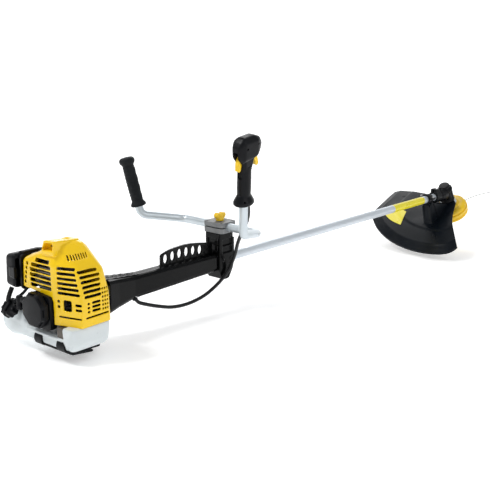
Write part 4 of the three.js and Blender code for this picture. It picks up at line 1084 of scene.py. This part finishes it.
GUARD_R, GUARD_TOP, GUARD_DROP, GUARD_LIP = 290, -18, 20, 8
GUARD_FRONT = 16
GUARD_RIGHT_END, GUARD_STRAIGHT_FROM, GUARD_LEFT_END = -33.5, 65, 93     # degrees from straight behind
GUARD_WALL = 3


def rim_radius(theta):
    """How far the guard reaches, theta counted from straight behind the head towards the left."""
    straight = math.radians(GUARD_STRAIGHT_FROM)
    if theta > straight:
        a = Vector((-GUARD_R * math.cos(straight), GUARD_R * math.sin(straight)))
        b = Vector((GUARD_FRONT - 4, 240))
        ray = Vector((-math.cos(theta), math.sin(theta)))
        along_edge = b - a
        t = (a.x * ray.y - a.y * ray.x) / (along_edge.y * ray.x - along_edge.x * ray.y)
        return (a + along_edge * t).length
    return GUARD_R


def guard_height(s):
    """The upper surface at s, the share of the way from the middle to the rim."""
    rows = [(0, 0), (0.63, 0), (0.66, -2.2), (0.70, -3.0), (0.86, -7.5), (0.885, -8.0), (0.90, -10.5),
            (0.95, -15), (0.985, -19), (1.0, -GUARD_DROP)]
    for (s0, z0), (s1, z1) in zip(rows, rows[1:]):
        if s <= s1:
            return GUARD_TOP + z0 + (z1 - z0) * (s - s0) / (s1 - s0)
    return GUARD_TOP - GUARD_DROP


def guard_plate():
    """A thin shell in polar strips, closed all round. Its two corners are rounded, its rim is drawn in from
    20 degrees right to 60 degrees left of straight behind, and near the middle its right end reaches
    further round."""
    first, last = math.radians(GUARD_RIGHT_END), math.radians(GUARD_LEFT_END)
    columns = 84
    shares = [0.07, 0.2, 0.4, 0.55, 0.62, 0.635, 0.65, 0.66, 0.68, 0.70, 0.78, 0.85, 0.865, 0.88, 0.89, 0.90,
              0.925, 0.95, 0.97, 0.985, 0.995, 1.0]
    bm = bmesh.new()
    upper, lower = [], []
    for i in range(columns + 1):
        theta = first + (last - first) * i / columns
        edge = min(i, columns - i)
        widen = max(0.0, 1 - i / 12) ** 1.5
        corner = 1 - (0.075 if theta < 0 else 0.012) * max(0.0, 1 - edge / 6) ** 2
        trimmed = theta < math.radians(60)
        trim = max(0.0, math.sin(math.pi * (math.degrees(theta) + 20) / 80)) if trimmed else 0
        reach = rim_radius(theta) * corner - 15 * trim
        top = [(s * reach, guard_height(s)) for s in shares]
        top.append((reach, GUARD_TOP - GUARD_DROP - GUARD_LIP))
        under = [(min(s * reach, reach - GUARD_WALL), guard_height(s) - GUARD_WALL) for s in shares]
        under.append((reach - GUARD_WALL, GUARD_TOP - GUARD_DROP - GUARD_LIP))
        for rows, points in ((upper, top), (lower, under)):
            row = []
            for r, z in points:
                turn = theta - widen * math.radians(112) * max(0.0, 1 - r / 210) ** 4.4
                row.append(bm.verts.new((-r * math.cos(turn), r * math.sin(turn), z)))
            rows.append(row)
    for grid in (upper, lower):
        for a, b in zip(grid, grid[1:]):
            for k in range(len(a) - 1):
                bm.faces.new((a[k], a[k + 1], b[k + 1], b[k]))
    for k in (0, -1):
        for i in range(columns):
            bm.faces.new((upper[i][k], upper[i + 1][k], lower[i + 1][k], lower[i][k]))
        for j in range(len(upper[0]) - 1):
            bm.faces.new((upper[k][j], upper[k][j + 1], lower[k][j + 1], lower[k][j]))
    return from_bm(bm)


def guard_rib(theta, r0, r1, height=7):
    rib = block(r0, r1, -1.2, 1.2, GUARD_TOP - 3 - height, GUARD_TOP - 2)
    return turned_by(rib, 180 - theta, "Z")


def guard():
    plate = guard_plate()
    foot = INTO_HEAD @ Vector((1494, 0, -BOOM_R - 4))
    neck = hull(mirrored([(foot.x - 12, 15, foot.z - 6), (foot.x + 14, 15, foot.z + 2),
                          (foot.x - 26, 17, GUARD_TOP - 1), (foot.x + 20, 17, GUARD_TOP - 1)]))
    recess = hull(mirrored([(foot.x - 26, 11, GUARD_TOP + 4), (foot.x - 2, 11, foot.z + 4),
                            (foot.x - 60, 11, GUARD_TOP + 30), (foot.x - 20, 11, foot.z + 30)]))
    tube_way = moved(rod(BOOM_R + 5.4, -400, 0, 40), INTO_HEAD @ Matrix.Translation((GEAR_X, 0, 0)))
    neck = cut(neck, tube_way, recess)
    front_web = hull(mirrored([(foot.x + 18, 20, GUARD_TOP - 1), (-38, 20, GUARD_TOP - 1),
                               (foot.x + 16, 16, foot.z - 8), (-40, 16, GUARD_TOP + 5)]))
    front_web = cut(front_web, block(foot.x + 22, -44, -15, 15, GUARD_TOP + 1, 60), tube_way)
    ribs = [guard_rib(t, 70, 180) for t in (-25, -12, 12, 26, 40, 54, 68, 82)]
    middle = rod(34, -80, 60, 48, "z")
    solid = cut(join(plate, neck, front_web, *ribs), middle, boomwise(rod(24.5, -110, 0, 40)))
    piece("guard_shell", bevelled(solid, 0.7, 2, 40), guard_black, "chassis", ("guard",),
          HEAD, 45)
    piece("guard_label", guard_label(), label_yellow, "chassis", (), HEAD)


def guard_label():
    """A plain four-cornered sticker on the guard's flat top, out towards the left."""
    corners = [Vector((-88, 184)), Vector((-110, 114)), Vector((-181, 101)), Vector((-129, 203))]
    steps = 14
    bm = bmesh.new()
    layers = []
    for lift in (0.2, 0.7):
        layer = []
        for i in range(steps + 1):
            near = corners[0].lerp(corners[1], i / steps)
            far = corners[3].lerp(corners[2], i / steps) + Vector((-7, 4)) * math.sin(math.pi * i / steps)
            row = []
            for k in range(steps + 1):
                spot = near.lerp(far, k / steps)
                share = spot.length / rim_radius(math.atan2(spot.y, -spot.x))
                row.append(bm.verts.new((spot.x, spot.y, guard_height(share) + lift)))
            layer.append(row)
        layers.append(layer)
    for layer in layers:
        for a, b in zip(layer, layer[1:]):
            for k in range(steps):
                bm.faces.new((a[k], a[k + 1], b[k + 1], b[k]))
    low, high = layers
    for k in range(steps):
        for i in (0, steps):
            bm.faces.new((low[i][k], low[i][k + 1], high[i][k + 1], high[i][k]))
            bm.faces.new((low[k][i], low[k + 1][i], high[k + 1][i], high[k][i]))
    return from_bm(bm)


def bracket():
    x0, x1 = 1480, 1508
    band = tube(BOOM_R + 5, BOOM_R + 0.3, x0, x1, 64)
    ears = [block(x0 + 2, x1 - 2, *sorted((s * 16, s * 28)), 1, 8) for s in (-1, 1)]
    solid = cut(join(band, *ears), rod(BOOM_R + 0.3, x0 - 5, x1 + 5, 48))
    bolts = []
    for s in (-1, 1):
        head = shifted(rod(4.4, 8, 12, 24, "z"), (x0 + x1) / 2, s * 23, 0)
        bolts.append(cut(head, shifted(rod(2.1, 9.5, 14, 6, "z"), (x0 + x1) / 2, s * 23, 0)))
    piece("guard_clamp", bevelled(solid, 0.9, 2), black_plastic, "chassis",
          ("guard_bracket",))
    piece("guard_clamp_bolts", joined(*[bevelled(b, 0.4) for b in bolts]), steel, "chassis")


BLADE_ANGLE = 122


def blade():
    plate = prism([(-16, -50), (16, -50), (16, -36), (9, -34), (-16, -34)], 247, 249, "x")
    rivets = [shifted(rod(2.6, 245.5, 250.5, 16), 0, y, -40) for y in (-8, 8)]
    mesh = turned_by(bevelled(join(plate, *rivets), 0.3), BLADE_ANGLE, "Z")
    piece("cutter_blade", mesh, steel, "chassis", ("line_cutter",), HEAD)


# ---------------------------------------------------------------- line head
HEAD_TOP = -46


def line_head():
    def scallops(r, z, a):
        if 45 < r < 64 and z > HEAD_TOP - 16:
            return r - 1.6 * max(0.0, math.cos(10 * a)) ** 3
        if r >= 64:
            return r - 1.0 * max(0.0, math.cos(20 * a)) ** 4
        return r

    outside = [(7.4, HEAD_TOP + 1), (34, HEAD_TOP + 1), (38, HEAD_TOP - 0.5), (40, HEAD_TOP - 3),
               (50, HEAD_TOP - 3.4), (57, HEAD_TOP - 5), (61.5, HEAD_TOP - 8), (63.5, HEAD_TOP - 12),
               (63.5, HEAD_TOP - 15), (61, HEAD_TOP - 17), (61, HEAD_TOP - 19), (64.6, HEAD_TOP - 20),
               (HEAD_R, HEAD_TOP - 21.5), (HEAD_R, HEAD_TOP - 31), (64.6, HEAD_TOP - 33),
               (61.5, HEAD_TOP - 34), (61.5, HEAD_TOP - 36.5), (64, HEAD_TOP - 38), (64.4, -90),
               (62.5, -92)]
    inside = [(57, -92), (57, HEAD_TOP - 14), (44, HEAD_TOP - 8), (7.4, HEAD_TOP - 8), (7.4, HEAD_TOP + 1)]
    shell = lathe([*outside, *inside], 120, "z", scallops)
    eyelets = turned_by(shifted(rod(3.2, -90, 90, 20), z=LINE_Z), EYELET_ANGLE, "Z")
    shell = cut(shell, eyelets)
    piece("line_head_shell", shell, head_yellow, "line_head", ("head_housing",), HEAD, 40)
    profile = [(3.2, 61), (5.6, 61), (5.6, 66.6), (4.6, 67.6), (3.2, 67.6), (3.2, 61)]
    rings = [turned_by(shifted(lathe(profile, 28, "x"), z=LINE_Z), a, "Z")
             for a in (EYELET_ANGLE, EYELET_ANGLE + 180)]
    piece("line_eyelets", joined(*rings), steel, "line_head", (), HEAD)
    collar = lathe([(7.4, -44), (28.5, -44), (30, -43), (31, -40.5), (29, -37.5), (26.5, -34), (25, -33),
                    (7.4, -33), (7.4, -44)], 56)
    slots = [turned_by(block(22, 34, -2.2, 2.2, -40, -30), 60 * k, "Z") for k in range(6)]
    piece("drive_flange", bevelled(cut(collar, *slots), 0.5), bar_alloy, "line_head",
          ("head_flange",), HEAD)


def bump():
    def lobes(r, z, a):
        return r + (1.8 * math.cos(8 * a) if 29 < r < 40 else 0)

    profile = [(0, -122), (18, -122), (25, -120.5), (31, -116), (34.5, -110), (37, -104), (46, -101.5),
               (53, -99), (55.8, -96.5), (56.2, -95), (54, -92.8), (52, -92.3), (8, -92.3), (8, -86),
               (0, -86)]
    mesh = lathe(profile, 96, "z", lobes)
    dent = rod(12, -130, -120.6, 32, "z")
    piece("bump_button", cut(mesh, dent), head_yellow, "bump", ("bump_knob",), HEAD, 40)
    reel = lathe([(9, -90), (50, -90), (50, -87), (26, -87), (26, -64), (50, -64), (50, -61), (9, -61),
                  (9, -90)], 56)
    piece("line_spool", bevelled(reel, 0.5), black_plastic, "bump", ("spool",), HEAD)


# ---------------------------------------------------------------- engine inside
def plug_and_lead():
    cap = lathe([(6, 113.4), (9, 113.4), (9.6, 116), (9, 120), (9.4, 140), (7, 146), (0, 147), (0, 129),
                 (6, 128), (6, 113.4)], 28)
    lead = sweep([(-34, 0, 143), (-20, 0, 143), (0, 0, 141)], 3.6, 16)
    mesh = shifted(join(cap, lead), CYLINDER_X, PLUG_Y, 0)
    piece("plug_cap", mesh, rubber, "chassis", ("plug_boot",))


# ---------------------------------------------------------------- studio
def studio():
    """A pale floor that curves up behind the trimmer and glows with painted light of its own, weaker near the
    trimmer and stronger far off; all is lit from all round and by three area lights.
    """
    world = bpy.data.worlds.new("studio")
    bpy.context.scene.world = world
    world.use_nodes = True
    world.node_tree.nodes["Background"].inputs["Color"].default_value = (0.97, 0.985, 1, 1)
    world.node_tree.nodes["Background"].inputs["Strength"].default_value = 0.42
    profile = [(-9, 0), (5.5, 0), (6.6, 0.15), (7.6, 0.6), (8.2, 1.5), (8.4, 6)]
    smooth = curve_through(profile, 6)
    bm = bmesh.new()
    rows = [[bm.verts.new((u, v, z)) for u, z in smooth] for v in (-14, 14)]
    for i in range(len(smooth) - 1):
        bm.faces.new((rows[0][i], rows[0][i + 1], rows[1][i + 1], rows[1][i]))
    mesh = from_bm(bm)
    mesh.transform(Matrix.Rotation(math.radians(41), 4, "Z"))
    mesh.polygons.foreach_set("use_smooth", [True] * len(mesh.polygons))
    glowing_paper = surface("glowing_paper", (0.93, 0.93, 0.93), 0.85, grain=(40, 0.02), mottle=(0.5, 0.01), smudge=0.03)
    shader = glowing_paper.node_tree.nodes["Principled BSDF"]
    # Painted glow: the floor gives off white light of its own, 0.34 strong within 1.2 m of its origin and rising to
    # 0.66 at 4.5 m, so that the backdrop shows white
    shader.inputs["Emission Color"].default_value = (1, 1, 1, 1)
    tree = glowing_paper.node_tree
    spot = node(tree, "ShaderNodeTexCoord")
    away = node(tree, "ShaderNodeVectorMath", operation="LENGTH")
    tree.links.new(spot.outputs["Object"], away.inputs[0])
    glow = node(tree, "ShaderNodeMapRange")
    for name, value in (("From Min", 1.2), ("From Max", 4.5), ("To Min", 0.34), ("To Max", 0.66)):
        glow.inputs[name].default_value = value
    tree.links.new(away.outputs["Value"], glow.inputs["Value"])
    tree.links.new(glow.outputs["Result"], shader.inputs["Emission Strength"])
    mesh.materials.append(glowing_paper)
    floor = bpy.data.objects.new("floor", mesh)
    bpy.context.scene.collection.objects.link(floor)

    target = Vector((0.7, 0, 0.15))
    for name, spot, power, size in (("key", (-1.2, 0.9, 2.6), 42, 0.7), ("fill", (0.4, -3.0, 1.8), 26, 2.2),
                                    ("rim", (2.6, 1.6, 2.2), 20, 1.4)):
        light = bpy.data.lights.new(name, "AREA")
        light.energy = power
        light.size = size
        obj = bpy.data.objects.new(name, light)
        obj.location = spot
        obj.rotation_euler = (target - Vector(spot)).to_track_quat("-Z", "Y").to_euler()
        bpy.context.scene.collection.objects.link(obj)
    bpy.context.scene.view_settings.view_transform = "Standard"


# ---------------------------------------------------------------- making
place_camera()
finish_cad_nodes()
throttle_cable()
cutting_line("cutting_line_front", LINE_START)
cutting_line("cutting_line_rear", LINE_START + math.pi)
shroud()
starter()
pull_handle()
filter_box()
fuel_tank()
fuel_cap()
stand()
plug_and_lead()
boom()
boom_sleeve()
clamp_column()
clamp_plate("clamp_jaw_lower", 77.4, BAR_Z - 1.4, False, "clamp_lower_plate")
clamp_plate("clamp_jaw_upper", BAR_Z + 1.4, BAR_Z + BAR_R + 3, True, "clamp_upper_plate")
knob()
handlebar()
left_grip()
throttle_handle()
controls()
gear_case()
guard()
bracket()
blade()
line_head()
bump()
studio()
